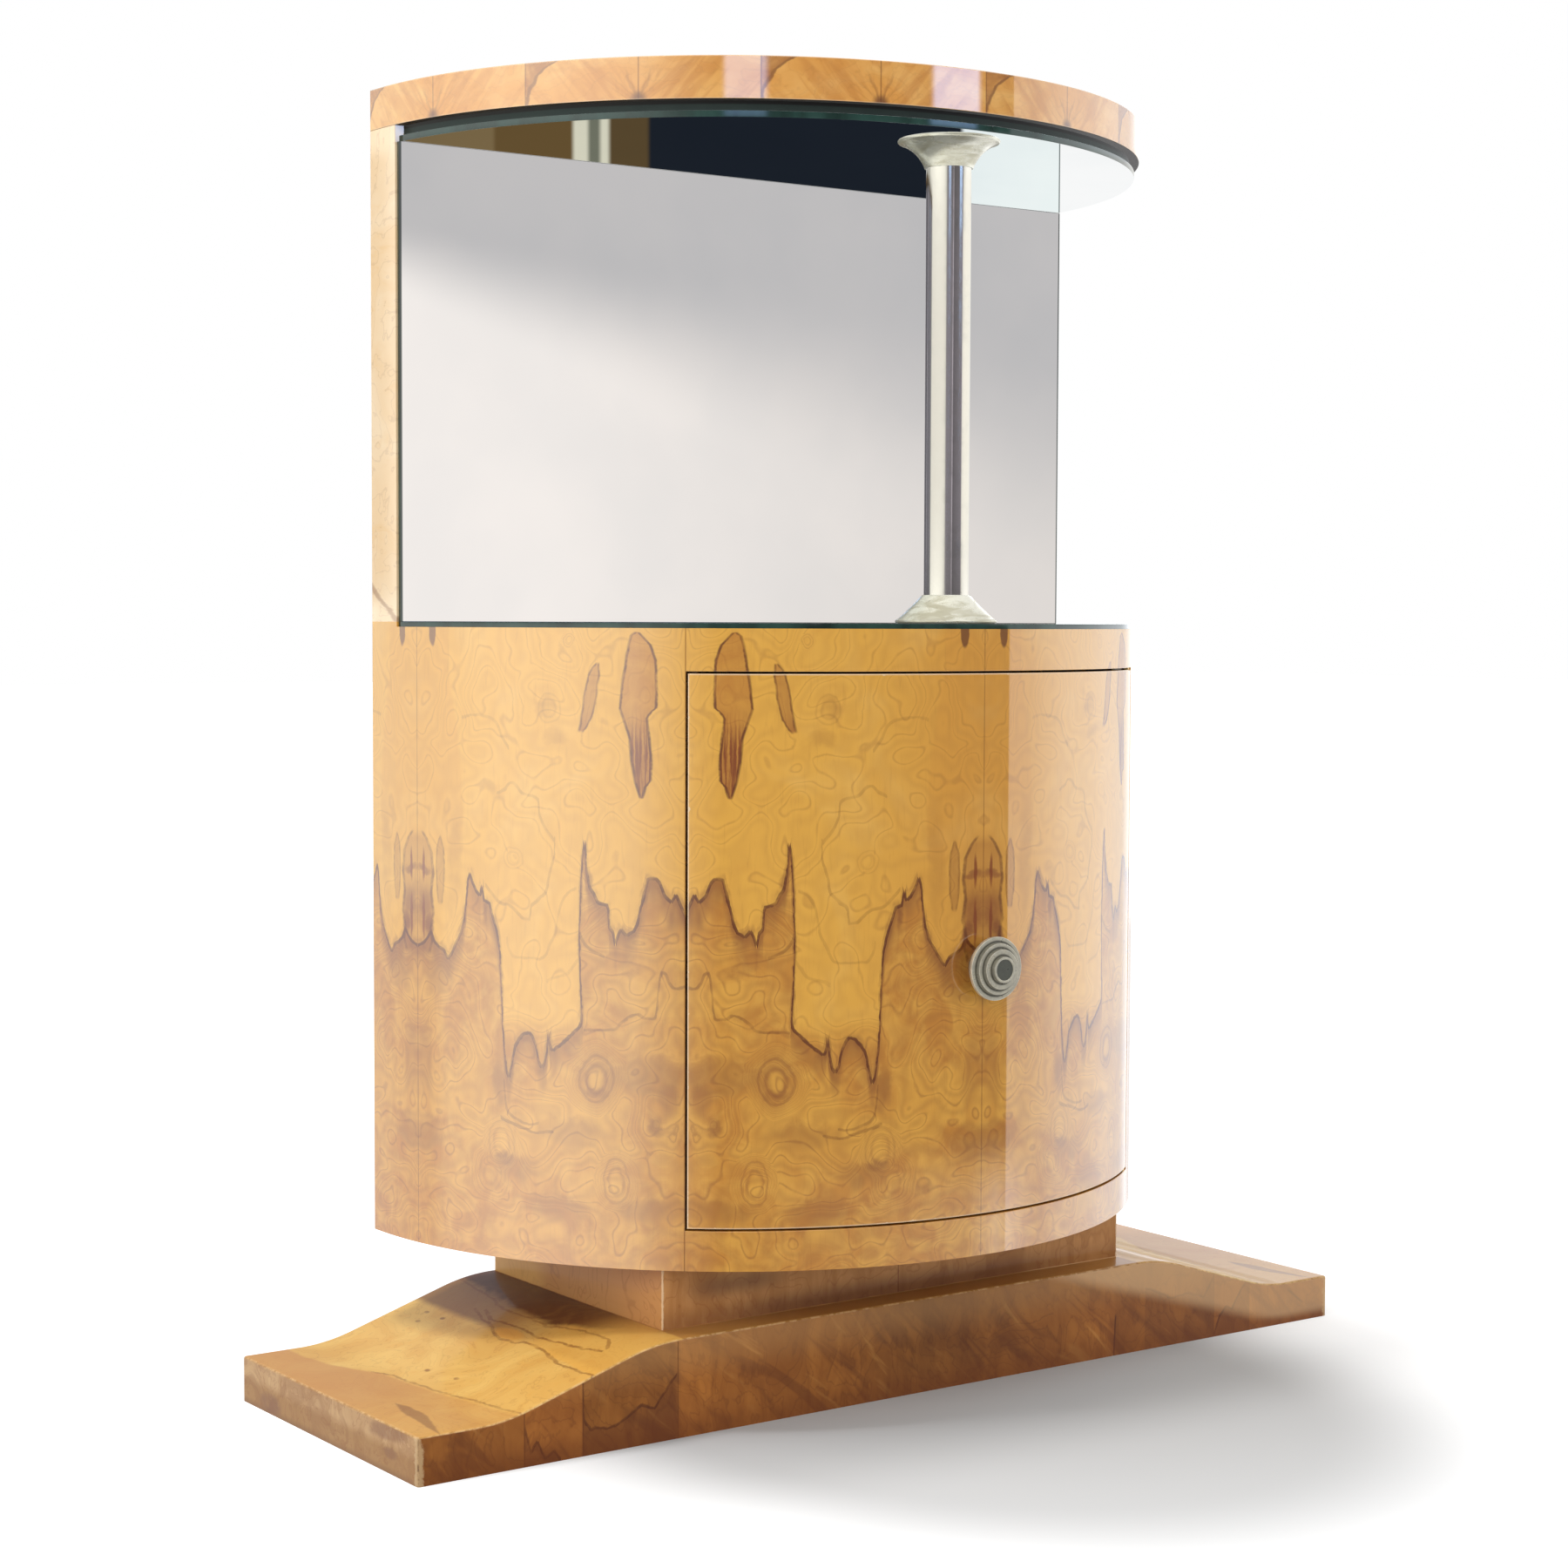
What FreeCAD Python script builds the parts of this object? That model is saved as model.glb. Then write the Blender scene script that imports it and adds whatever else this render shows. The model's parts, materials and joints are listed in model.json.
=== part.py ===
import FreeCAD, Part
import math
import os

# A half-round bar cabinet: a veneered drum with one curved door stands on a riser and a long
# ogee-ended plinth. Above the drum a mirrored back and one metal column carry a half-round slab.
# Millimetres and degrees. +Z is up, -Y is the front, +X is to the right of someone facing it.
# The origin is on the floor, at the middle of the whole cabinet.

# Drum and back
drum_radius = 430.0
back_depth = 16.0
drum_height = 609.5
shell_thickness = 20.0
jamb_angle = 40.7
sill_height = 38.5
head_height = 40.5
top_board_thickness = 22.0
stile_width = 30.0
stile_depth = 49.0
back_board_thickness = 8.0
backing_thickness = 6.0
back_rail_height = 60.0
muntin_width = 60.0

# Plinth
plinth_length = 1146.0
plinth_front = 337.0
plinth_overhang = 6.0
plinth_height = 95.0
plinth_end_height = 45.0
plinth_end_flat = 60.0
ogee_radius = 200.0
plinth_board = 20.0
plinth_skin = 6.0
rib_thickness = 18.0
ogee_limit_share = 0.98
crown_rib_shares = (0.3, 0.95)
ogee_rib_share = 0.45

# Riser
riser_width = 580.0
riser_front = 302.0
riser_height = 61.0
riser_board = 20.0
corner_block = 45.0
block_screw_share = 0.3

# Glass and slab
glass_thickness = 5.0
counter_inset = 2.5
bay_height = 470.0
mirror_thickness = 6.0
mirror_inset = 5.0
recess_height = 10.0
recess_inset = 10.0
slab_thickness = 40.0
lipping_thickness = 15.0
dowel_radius = 4.0
dowel_length = 50.0
dowel_inset = 7.0
dowel_row_shares = (0.3, 0.7)

# Column
column_back = 64.5
tube_radius = 22.0
tube_wall = 1.6
flange_radius = 50.0
flange_height = 28.0
flange_rim = 4.0
flange_neck = 1.6
flange_cove_radius = 48.0
rod_radius = 4.0
rod_tail = 16.0
insert_radius = 7.0
insert_length = 25.0
nut_flats = 13.0
nut_height = 6.5
washer_radius = 12.0
washer_thickness = 2.0

# Door and knob
door_thickness = 19.0
door_gap = 2.0
door_edge_round = 1.5
stop_thickness = 9.0
stop_seat = 14.0
stop_overlap = 9.0
knob_height = 438.0
knob_stem_radius = 9.0
knob_stem_length = 11.0
knob_radius = 31.0
knob_step = 4.2
knob_round = 1.5
knob_recess = 0.8
knob_step_shares = (1.0, 0.81, 0.63, 0.41)
knob_recess_share = 0.33
rose_radius = 21.0
rose_thickness = 2.5
knob_screw_radius = 2.5
knob_screw_bite = 12.0
knob_screw_head_radius = 4.5
knob_screw_head = 2.6
knob_seat_depth = 0.6

# Door hinges: two flat leaves each, let into the edges, turning on an upright pin
pivot_inset = 5.0
leaf_length = 42.0
leaf_width = 8.0
leaf_thickness = 3.0
pin_radius = 2.5
pin_tail = 4.0
spacer_radius = 4.0
spacer_play = 0.2
leaf_screw_shares = (0.45, 0.9)
leaf_screw_length = 14.0

# Ball catch in the door's free edge
ball_radius = 5.0
ball_depth = 2.1
catch_bore = 5.3
catch_wall = 1.2
catch_length = 16.0
catch_lip = 0.6
catch_mouth = 4.85
catch_flange = 1.5
spring_radius = 3.6
spring_wire = 0.4
spring_turns = 5
strike_width = 12.0
strike_height = 40.0
strike_thickness = 1.5
strike_mouth = 4.2
strike_pocket = 4.0
strike_screw_share = 0.7
strike_screw_length = 14.0

# Shelf
shelf_thickness = 18.0
shelf_clearance = 3.0
shelf_height_share = 0.5
peg_radius = 4.0
peg_bury = 12.0
peg_reach = 15.0
peg_angle_shares = (0.35, 0.8)

# Wood screws: the larger ones hold the riser, the smaller ones the back, leaves and strike
screw_radius = 2.5
screw_head_radius = 5.0
screw_head = 3.0
small_screw_radius = 1.5
small_head_radius = 2.9
small_head = 1.7
riser_screw_length = 60.0
plinth_screw_length = 40.0
back_screw_length = 26.0
back_screw_inset = 12.0
back_screw_shares = (-0.92, -0.55, -0.18, 0.18, 0.55, 0.92)

# Fits: screws and bores, let-in plates, sliding metal, and the overrun of every cut
hole_clearance = 0.1
let_in_clearance = 0.15
running_clearance = 0.05
slip_clearance = 0.2
overrun = 1.0

# Places worked out from the sizes above
knob_front = rose_thickness + knob_stem_length + knob_step * len(knob_step_shares)
plinth_half = plinth_length / 2
riser_half = riser_width / 2
drum_y = (drum_radius + knob_front - back_depth - plinth_overhang) / 2
back_y = drum_y + back_depth
stile_front_y = back_y - stile_depth
stile_inner = drum_radius - stile_width
board_front_y = back_y - back_board_thickness
backing_back_y = stile_front_y + backing_thickness
shell_inner = drum_radius - shell_thickness
door_inner = drum_radius - door_thickness
drum_bottom = plinth_height + riser_height
drum_top = drum_bottom + drum_height
floor_top = drum_bottom + sill_height
head_bottom = drum_top - head_height
ceiling = drum_top - top_board_thickness
counter_top = drum_top + glass_thickness
bay_top = counter_top + bay_height
slab_bottom = bay_top + mirror_thickness + recess_height
slab_top = slab_bottom + slab_thickness
column_y = drum_y - drum_radius + column_back
door_angle = jamb_angle - math.degrees(door_gap / drum_radius)
door_bottom = floor_top + door_gap
door_top = head_bottom - door_gap
pivot_angle = door_angle - math.degrees(pivot_inset / drum_radius)
pivot_radius = drum_radius - pivot_inset
leaf_tip_angle = pivot_angle - math.degrees(leaf_length / drum_radius)
door_middle = (drum_radius + door_inner) / 2
shelf_bottom = floor_top + (ceiling - floor_top - shelf_thickness) * shelf_height_share

UP = FreeCAD.Vector(0, 0, 1)
DOWN = FreeCAD.Vector(0, 0, -1)
FORWARD = FreeCAD.Vector(0, -1, 0)


def point(x, y, z=0.0):
    return FreeCAD.Vector(x, y, z)


def polar(radius, angle, z=0.0):
    """A point about the drum's upright axis: angle 0 is the front, and it grows to the right."""
    turn = math.radians(angle)
    return point(radius * math.sin(turn), drum_y - radius * math.cos(turn), z)


def box(x, y, z):
    """A block from three (low, high) pairs."""
    return Part.makeBox(x[1] - x[0], y[1] - y[0], z[1] - z[0], point(x[0], y[0], z[0]))


def upright(edges, height):
    return Part.Face(Part.Wire(edges)).extrude(UP * height)


def polygon(corners, height):
    return Part.Face(Part.makePolygon(corners + corners[:1])).extrude(UP * height)


def rod(radius, start, direction, length):
    return Part.makeCylinder(radius, length, start, direction)


def upright_rod(radius, x, y, bottom, top):
    return rod(radius, point(x, y, bottom), UP, top - bottom)


def cut_all(shape, cutters):
    for cutter in cutters:
        shape = shape.cut(cutter)
    return shape


def band(inner, outer, first, last, bottom, top):
    """A curved board between two angles, with radial ends."""
    middle = (first + last) / 2
    edges = [Part.Arc(*(polar(outer, angle, bottom) for angle in (first, middle, last))).toShape()]
    edges.append(Part.makeLine(polar(outer, last, bottom), polar(inner, last, bottom)))
    edges.append(Part.Arc(*(polar(inner, angle, bottom) for angle in (last, middle, first))).toShape())
    edges.append(Part.makeLine(polar(inner, first, bottom), polar(outer, first, bottom)))
    return upright(edges, top - bottom)


def half_round(radius, straight_y, bottom, top):
    """A half-round board, with its straight edge at straight_y, behind the drum's axis or ahead."""
    end_y = min(straight_y, drum_y)
    half = math.sqrt(radius ** 2 - (drum_y - end_y) ** 2)
    left = point(-half, end_y, bottom)
    right = point(half, end_y, bottom)
    edges = [Part.Arc(left, point(0, drum_y - radius, bottom), right).toShape()]
    corners = [right, left]
    if straight_y > drum_y:
        corners = [right, point(half, straight_y, bottom), point(-half, straight_y, bottom), left]
    for start, end in zip(corners, corners[1:]):
        edges.append(Part.makeLine(start, end))
    return upright(edges, top - bottom)


def drum_board(play, bottom, top):
    """A board that fills the drum's plan inside the shells, reaching back between the stiles."""
    front = half_round(shell_inner - play, stile_front_y - play, bottom, top)
    reach = (stile_front_y - play, board_front_y - play)
    rear = box((play - stile_inner, stile_inner - play), reach, (bottom, top))
    return front.fuse(rear).removeSplitter()


def screw(start, direction, length, small=False, play=0.0):
    """A countersunk screw, its flat head at start; play makes the cutter for its hole."""
    radius = small_screw_radius if small else screw_radius
    head_radius = small_head_radius if small else screw_head_radius
    head = small_head if small else screw_head
    cone = Part.makeCone(head_radius + play, radius + play, head, start, direction)
    shank = rod(radius + play, start, direction, length + play)
    return cone.fuse(shank).removeSplitter()


def screws(places, direction, length, small=False):
    return [screw(place, direction, length, small) for place in places]


def screw_holes(places, direction, length, small=False):
    return [screw(place, direction, length, small, hole_clearance) for place in places]


def on_edge(shape, radius, angle, z):
    """Carry a shape built about +X to a radial edge: its +X points away from the door."""
    turn = FreeCAD.Rotation(UP, math.degrees(math.pi) + angle)
    shape.Placement = FreeCAD.Placement(polar(radius, angle, z), turn)
    return shape


def outward(shape, y, z):
    """Carry a shape turned about +Z to the cabinet's front, so that its +Z points forwards."""
    turn = FreeCAD.Rotation(point(1, 0), point(0, 0, 1), point(0, -1, 0))
    shape.Placement = FreeCAD.Placement(point(0, y, z), turn)
    return shape


def save(name, shape):
    solids = shape if isinstance(shape, list) else [shape]
    made = solids[0] if len(solids) == 1 else Part.makeCompound(solids)
    made.exportStep(os.path.join("parts", name + ".step"))
    print(name, len(made.Solids), made.isValid(), round(made.Volume))


# Plinth

def ogee_edges(side):
    """The top line of one end, from its flat up to the crown: hollow arc, ramp, round arc.

    Both arcs have the ogee radius, as far as the length and the rise of the ramp let them meet."""
    run = plinth_half - plinth_end_flat - riser_half
    rise = plinth_height - plinth_end_height
    radius = min(ogee_radius, ogee_limit_share * (run ** 2 + rise ** 2) / (4 * rise))
    drop = 2 * radius - rise
    span = math.hypot(run, drop)
    ramp = math.asin(2 * radius / span) - math.atan2(drop, run)
    foot_x = plinth_half - plinth_end_flat

    def hollow(turn):
        across = foot_x - radius * math.sin(turn)
        return point(side * across, 0, plinth_end_height + radius * (1 - math.cos(turn)))

    def crest(turn):
        across = riser_half + radius * math.sin(turn)
        return point(side * across, 0, plinth_height - radius * (1 - math.cos(turn)))

    lower = Part.Arc(hollow(0), hollow(ramp / 2), hollow(ramp)).toShape()
    upper = Part.Arc(crest(ramp), crest(ramp / 2), crest(0)).toShape()
    return [lower, Part.makeLine(hollow(ramp), crest(ramp)), upper]


def plinth_block(low_y, high_y, drop=0.0):
    """The plinth's whole section between two depths, let down by drop."""
    corners = []
    for side in (-1, 1):
        corners.append(point(side * plinth_half, 0, 0))
        corners.append(point(side * plinth_half, 0, plinth_end_height))
        corners.append(point(side * (plinth_half - plinth_end_flat), 0, plinth_end_height))
    crown = [point(-riser_half, 0, plinth_height), point(riser_half, 0, plinth_height)]
    edges = [Part.makeLine(corners[0], corners[1]), Part.makeLine(corners[1], corners[2])]
    edges += ogee_edges(-1)
    edges.append(Part.makeLine(crown[0], crown[1]))
    edges += ogee_edges(1)
    edges += [Part.makeLine(corners[5], corners[4]), Part.makeLine(corners[4], corners[3])]
    edges.append(Part.makeLine(corners[3], corners[0]))
    face = Part.Face(Part.Wire(Part.sortEdges(edges)[0]))
    block = face.extrude(point(0, high_y - low_y, 0))
    block.translate(point(0, low_y, -drop))
    return block


def make_plinth():
    front_y = drum_y - plinth_front
    rear_y = back_y + plinth_overhang
    inside = (front_y + plinth_board, rear_y - plinth_board)
    inner_half = plinth_half - plinth_board
    save("plinth_front_rail", plinth_block(front_y, inside[0]))
    save("plinth_back_rail", plinth_block(inside[1], rear_y))
    for name, side in (("left", -1), ("right", 1)):
        ends = sorted((side * inner_half, side * plinth_half))
        save("plinth_end_" + name, box(ends, inside, (0, plinth_end_height)))
    between = box((-inner_half, inner_half), inside, (0, plinth_height))
    under = plinth_block(inside[0], inside[1], plinth_skin)
    skin = plinth_block(inside[0], inside[1]).common(between).cut(under)
    save("plinth_top_skin", cut_all(skin, screw_holes(plinth_screw_places(), UP, plinth_screw_length)))
    places = [share * riser_half for share in crown_rib_shares]
    places.append(riser_half + (inner_half - riser_half) * ogee_rib_share)
    ribs = []
    for place in places + [-place for place in places]:
        width = (place - rib_thickness / 2, place + rib_thickness / 2)
        ribs.append(under.common(box(width, inside, (0, plinth_height))))
    save("plinth_ribs", ribs)


# Riser

def block_places(z):
    """Where the screws pass through the four corner blocks."""
    inset = riser_board + corner_block * block_screw_share
    places = []
    for x in (inset - riser_half, riser_half - inset):
        for y in (drum_y - riser_front + inset, back_y - inset):
            places.append(point(x, y, z))
    return places


def plinth_screw_places():
    return block_places(plinth_height - plinth_skin)


def make_riser():
    front_y = drum_y - riser_front
    outer = [(-riser_half, front_y), (riser_half, front_y), (riser_half, back_y), (-riser_half, back_y)]
    inward = [(1, 1), (-1, 1), (-1, -1), (1, -1)]
    holes = screw_holes(plinth_screw_places(), UP, plinth_screw_length)
    holes += screw_holes(block_places(floor_top), DOWN, riser_screw_length)
    blocks = []
    for index, name in enumerate(("front", "right", "back", "left")):
        following = (index + 1) % len(outer)
        corners = []
        for corner, depth in ((index, 0), (following, 0), (following, riser_board), (index, riser_board)):
            x = outer[corner][0] + inward[corner][0] * depth
            y = outer[corner][1] + inward[corner][1] * depth
            corners.append(point(x, y, plinth_height))
        save("riser_" + name, polygon(corners, riser_height))
        x = outer[index][0] + inward[index][0] * riser_board
        y = outer[index][1] + inward[index][1] * riser_board
        legs = [point(x, y, plinth_height)]
        legs.append(point(x + inward[index][0] * corner_block, y, plinth_height))
        legs.append(point(x, y + inward[index][1] * corner_block, plinth_height))
        blocks.append(cut_all(polygon(legs, riser_height), holes))
    save("riser_corner_blocks", blocks)
    fixings = screws(plinth_screw_places(), UP, plinth_screw_length)
    fixings += screws(block_places(floor_top), DOWN, riser_screw_length)
    save("riser_screws", fixings)


# Hinges

def leaf_plan(play, bottom, top):
    """The round-ended plan of a hinge leaf, from the pivot along the door's edge."""
    pivot = polar(pivot_radius, pivot_angle, bottom)
    tip = polar(door_middle, leaf_tip_angle, bottom)
    along = (tip - pivot).normalize() * (leaf_width / 2 + play)
    across = UP.cross(along)
    edges = [Part.makeLine(pivot + across, tip + across)]
    edges.append(Part.Arc(tip + across, tip + along, tip - across).toShape())
    edges.append(Part.makeLine(tip - across, pivot - across))
    edges.append(Part.Arc(pivot - across, pivot - along, pivot + across).toShape())
    return upright(edges, top - bottom)


def leaf_screw_places(z):
    pivot = polar(pivot_radius, pivot_angle, z)
    tip = polar(door_middle, leaf_tip_angle, z)
    return [pivot + (tip - pivot) * share for share in leaf_screw_shares]


def pivot_rod(radius, bottom, top):
    pivot = polar(pivot_radius, pivot_angle)
    return upright_rod(radius, pivot.x, pivot.y, bottom, top)


def let_in(bottom, top):
    return leaf_plan(let_in_clearance, bottom, top)


def make_hinges():
    pin_bore = pivot_rod(pin_radius + running_clearance, drum_bottom, drum_top)
    tail = door_gap + leaf_thickness + pin_tail
    case = leaf_plan(0, head_bottom, head_bottom + leaf_thickness)
    case = case.fuse(pivot_rod(pin_radius, head_bottom - tail, head_bottom + leaf_thickness / 2))
    save("hinge_case_leaf_upper", cut_all(case, case_hinge_holes()).removeSplitter())
    case = leaf_plan(0, floor_top - leaf_thickness, floor_top)
    case = case.fuse(pivot_rod(pin_radius, floor_top - leaf_thickness / 2, floor_top + tail))
    save("hinge_case_leaf_lower", cut_all(case, case_hinge_holes()).removeSplitter())
    holes = door_hinge_holes() + [pin_bore]
    save("hinge_door_leaf_upper", cut_all(leaf_plan(0, door_top - leaf_thickness, door_top), holes))
    lower = leaf_plan(0, door_bottom, door_bottom + leaf_thickness)
    save("hinge_door_leaf_lower", cut_all(lower, holes))
    spacer = door_gap - spacer_play
    rings = [pivot_rod(spacer_radius, head_bottom - spacer, head_bottom)]
    rings.append(pivot_rod(spacer_radius, floor_top, floor_top + spacer))
    save("hinge_spacers", [ring.cut(pin_bore) for ring in rings])
    case_screws = screws(leaf_screw_places(head_bottom), UP, leaf_screw_length, True)
    case_screws += screws(leaf_screw_places(floor_top), DOWN, leaf_screw_length, True)
    save("hinge_case_screws", case_screws)
    door_screws = screws(leaf_screw_places(door_top), DOWN, leaf_screw_length, True)
    door_screws += screws(leaf_screw_places(door_bottom), UP, leaf_screw_length, True)
    save("hinge_door_screws", door_screws)


def case_hinge_holes():
    holes = screw_holes(leaf_screw_places(head_bottom), UP, leaf_screw_length, True)
    return holes + screw_holes(leaf_screw_places(floor_top), DOWN, leaf_screw_length, True)


def door_hinge_holes():
    holes = screw_holes(leaf_screw_places(door_top), DOWN, leaf_screw_length, True)
    return holes + screw_holes(leaf_screw_places(door_bottom), UP, leaf_screw_length, True)


# Drum

def peg_places():
    """Angle and height of each shelf peg, two in each shell."""
    back_angle = math.degrees(math.acos((drum_y - stile_front_y) / drum_radius))
    places = []
    for side in (-1, 1):
        for share in peg_angle_shares:
            places.append(side * (jamb_angle + (back_angle - jamb_angle) * share))
    return places


def peg(angle, play=0.0):
    z = shelf_bottom - peg_radius
    start = polar(shell_inner + peg_bury + play, angle, z)
    inward = polar(0, angle, z) - polar(drum_radius, angle, z)
    return rod(peg_radius + play, start, inward, peg_bury + peg_reach + play)


def strike_plate(play, thickness):
    plate = box((-play, thickness), (-strike_width / 2 - play, strike_width / 2 + play),
                (-strike_height / 2 - play, strike_height / 2 + play))
    return on_edge(plate, door_middle, -jamb_angle, knob_height)


def strike_screw_places():
    offset = strike_height / 2 * strike_screw_share
    return [polar(door_middle, -jamb_angle, knob_height + side * offset) for side in (-1, 1)]


def into_jamb():
    ahead = polar(door_middle, -jamb_angle)
    axis = polar(0, -jamb_angle)
    return UP.cross(ahead - axis) * -1


def make_strike():
    mouth = rod(strike_mouth, point(-overrun, 0), point(1, 0), strike_pocket + strike_thickness)
    mouth = on_edge(mouth, door_middle, -jamb_angle, knob_height)
    holes = screw_holes(strike_screw_places(), into_jamb(), strike_screw_length, True)
    save("catch_strike", cut_all(strike_plate(0, strike_thickness), holes + [mouth]))
    save("catch_strike_screws", screws(strike_screw_places(), into_jamb(), strike_screw_length, True))
    return holes + [mouth, strike_plate(let_in_clearance, strike_thickness)]


def make_drum():
    strike_cuts = make_strike()
    behind = box((-drum_radius, drum_radius), (stile_front_y, back_y), (drum_bottom, drum_top))
    for name, side in (("left", -1), ("right", 1)):
        angles = sorted((side * jamb_angle, side * math.degrees(math.pi / 2)))
        shell = band(shell_inner, drum_radius, angles[0], angles[1], drum_bottom, drum_top).cut(behind)
        shell = cut_all(shell, [peg(angle, hole_clearance) for angle in peg_places()])
        save("side_shell_" + name, cut_all(shell, strike_cuts if side < 0 else []))
    sill = band(shell_inner, drum_radius, -jamb_angle, jamb_angle, drum_bottom, floor_top)
    cuts = [let_in(floor_top - leaf_thickness, floor_top)] + case_hinge_holes()
    save("sill_rail", cut_all(sill, cuts))
    head = band(shell_inner, drum_radius, -jamb_angle, jamb_angle, head_bottom, drum_top)
    cuts = [let_in(head_bottom, head_bottom + leaf_thickness)] + case_hinge_holes()
    save("head_rail", cut_all(head, cuts))
    floor_cuts = screw_holes(block_places(floor_top), DOWN, riser_screw_length) + back_screw_holes()
    save("floor_board", cut_all(drum_board(0, drum_bottom, floor_top), floor_cuts))
    save("top_board", drum_board(0, ceiling, drum_top).cut(rod_hole(0)))


def stop_strip(play, bottom, top):
    """The strip behind the door's free edge, glued to the left shell."""
    seat = math.degrees((stop_seat + play) / shell_inner)
    overlap = math.degrees((stop_overlap + play) / shell_inner)
    inner = shell_inner - stop_thickness - play
    return band(inner, shell_inner + play, -jamb_angle - seat, overlap - jamb_angle, bottom, top)


def make_shelf():
    save("door_stop", stop_strip(0, floor_top, head_bottom))
    shelf = drum_board(shelf_clearance, shelf_bottom, shelf_bottom + shelf_thickness)
    save("shelf", shelf.cut(stop_strip(shelf_clearance, floor_top, head_bottom)))
    save("shelf_pegs", [peg(angle) for angle in peg_places()])


# Back

def back_screw_places():
    heights = (drum_bottom, drum_top, slab_bottom)
    lows = (back_screw_inset, back_screw_inset, -back_screw_inset)
    places = []
    for z, inset in zip(heights, lows):
        for share in back_screw_shares:
            places.append(point(share * stile_inner, back_y, z + inset))
    return places


def back_screw_holes():
    return screw_holes(back_screw_places(), FORWARD, back_screw_length, True)


def dowel_places():
    places = []
    for side in (-1, 1):
        for share in dowel_row_shares:
            x = side * (stile_inner + dowel_inset)
            places.append((x, stile_front_y + stile_depth * share))
    return places


def dowel(place, play=0.0):
    half = dowel_length / 2 + play
    return upright_rod(dowel_radius + play, place[0], place[1], slab_bottom - half, slab_bottom + half)


def make_back():
    holes = back_screw_holes()
    dowel_holes = [dowel(place, hole_clearance) for place in dowel_places()]
    plan = half_round(drum_radius, back_y, drum_bottom, slab_bottom)
    for name, side in (("left", -1), ("right", 1)):
        width = sorted((side * stile_inner, side * drum_radius))
        post = box(width, (stile_front_y, back_y), (drum_bottom, slab_bottom))
        save("stile_" + name, cut_all(post.common(plan), dowel_holes))
    width = (-stile_inner, stile_inner)
    panel = box(width, (board_front_y, back_y), (drum_bottom, slab_bottom))
    save("back_board", cut_all(panel, holes))
    depth = (backing_back_y, board_front_y)
    lower_top = drum_top + back_rail_height
    upper_bottom = slab_bottom - back_rail_height
    save("back_rail_lower", cut_all(box(width, depth, (drum_top, lower_top)), holes))
    save("back_rail_upper", cut_all(box(width, depth, (upper_bottom, slab_bottom)), holes))
    middle = (-muntin_width / 2, muntin_width / 2)
    save("back_muntin", box(middle, depth, (lower_top, upper_bottom)))
    save("back_board_screws", screws(back_screw_places(), FORWARD, back_screw_length, True))
    save("mirror_backing", box(width, (stile_front_y, backing_back_y), (drum_top, slab_bottom)))
    save("slab_dowels", [dowel(place) for place in dowel_places()])


# Glass, slab and column

def rod_hole(extra):
    """The hole for the column's rod, from the drum's top board up to the insert."""
    return upright_rod(rod_radius + hole_clearance + extra, 0, column_y, ceiling - overrun, slab_bottom)


def make_glass():
    wide_hole = rod_hole(washer_thickness)
    counter = half_round(drum_radius - counter_inset, stile_front_y, drum_top, counter_top)
    save("counter_glass", counter.cut(wide_hole))
    half = math.sqrt((drum_radius - counter_inset) ** 2 - (drum_y - stile_front_y) ** 2)
    mirror_front = stile_front_y - glass_thickness
    save("back_mirror", box((-half, half), (mirror_front, stile_front_y), (counter_top, bay_top)))
    recess_bottom = bay_top + mirror_thickness
    plate = half_round(drum_radius - mirror_inset, stile_front_y, bay_top, recess_bottom)
    save("underside_mirror", plate.cut(wide_hole))
    board = half_round(drum_radius - recess_inset, stile_front_y, recess_bottom, slab_bottom)
    save("slab_backing", board.cut(wide_hole))


def make_slab():
    socket = upright_rod(insert_radius, 0, column_y, slab_bottom, slab_bottom + insert_length)
    cuts = [dowel(place, hole_clearance) for place in dowel_places()]
    core = half_round(drum_radius - lipping_thickness, back_y, slab_bottom, slab_top)
    outer = half_round(drum_radius, back_y, slab_bottom, slab_top)
    save("slab_core", cut_all(core, cuts + [socket]))
    save("slab_lipping", cut_all(outer.cut(core), cuts))


def flange():
    """A trumpet flange standing on its wide rim: a narrow neck, a hollow cove and a rolled lip."""
    bore = tube_radius + running_clearance
    neck = tube_radius + flange_neck
    shoulder = flange_radius - flange_rim / 2
    start = point(neck, 0, flange_height)
    end = point(shoulder, 0, flange_rim)
    chord = end - start
    middle = (start + end) / 2
    inward = point(chord.z, 0, -chord.x).normalize()
    sag = flange_cove_radius - math.sqrt(flange_cove_radius ** 2 - (chord.Length / 2) ** 2)
    edges = [Part.makeLine(point(bore, 0, 0), point(bore, 0, flange_height))]
    edges.append(Part.makeLine(point(bore, 0, flange_height), start))
    edges.append(Part.Arc(start, middle + inward * sag, end).toShape())
    lip = point(flange_radius, 0, flange_rim / 2)
    edges.append(Part.Arc(end, lip, point(shoulder, 0, 0)).toShape())
    edges.append(Part.makeLine(point(shoulder, 0, 0), point(bore, 0, 0)))
    face = Part.Face(Part.Wire(edges))
    return face.revolve(point(0, 0), UP, math.degrees(2 * math.pi))


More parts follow.
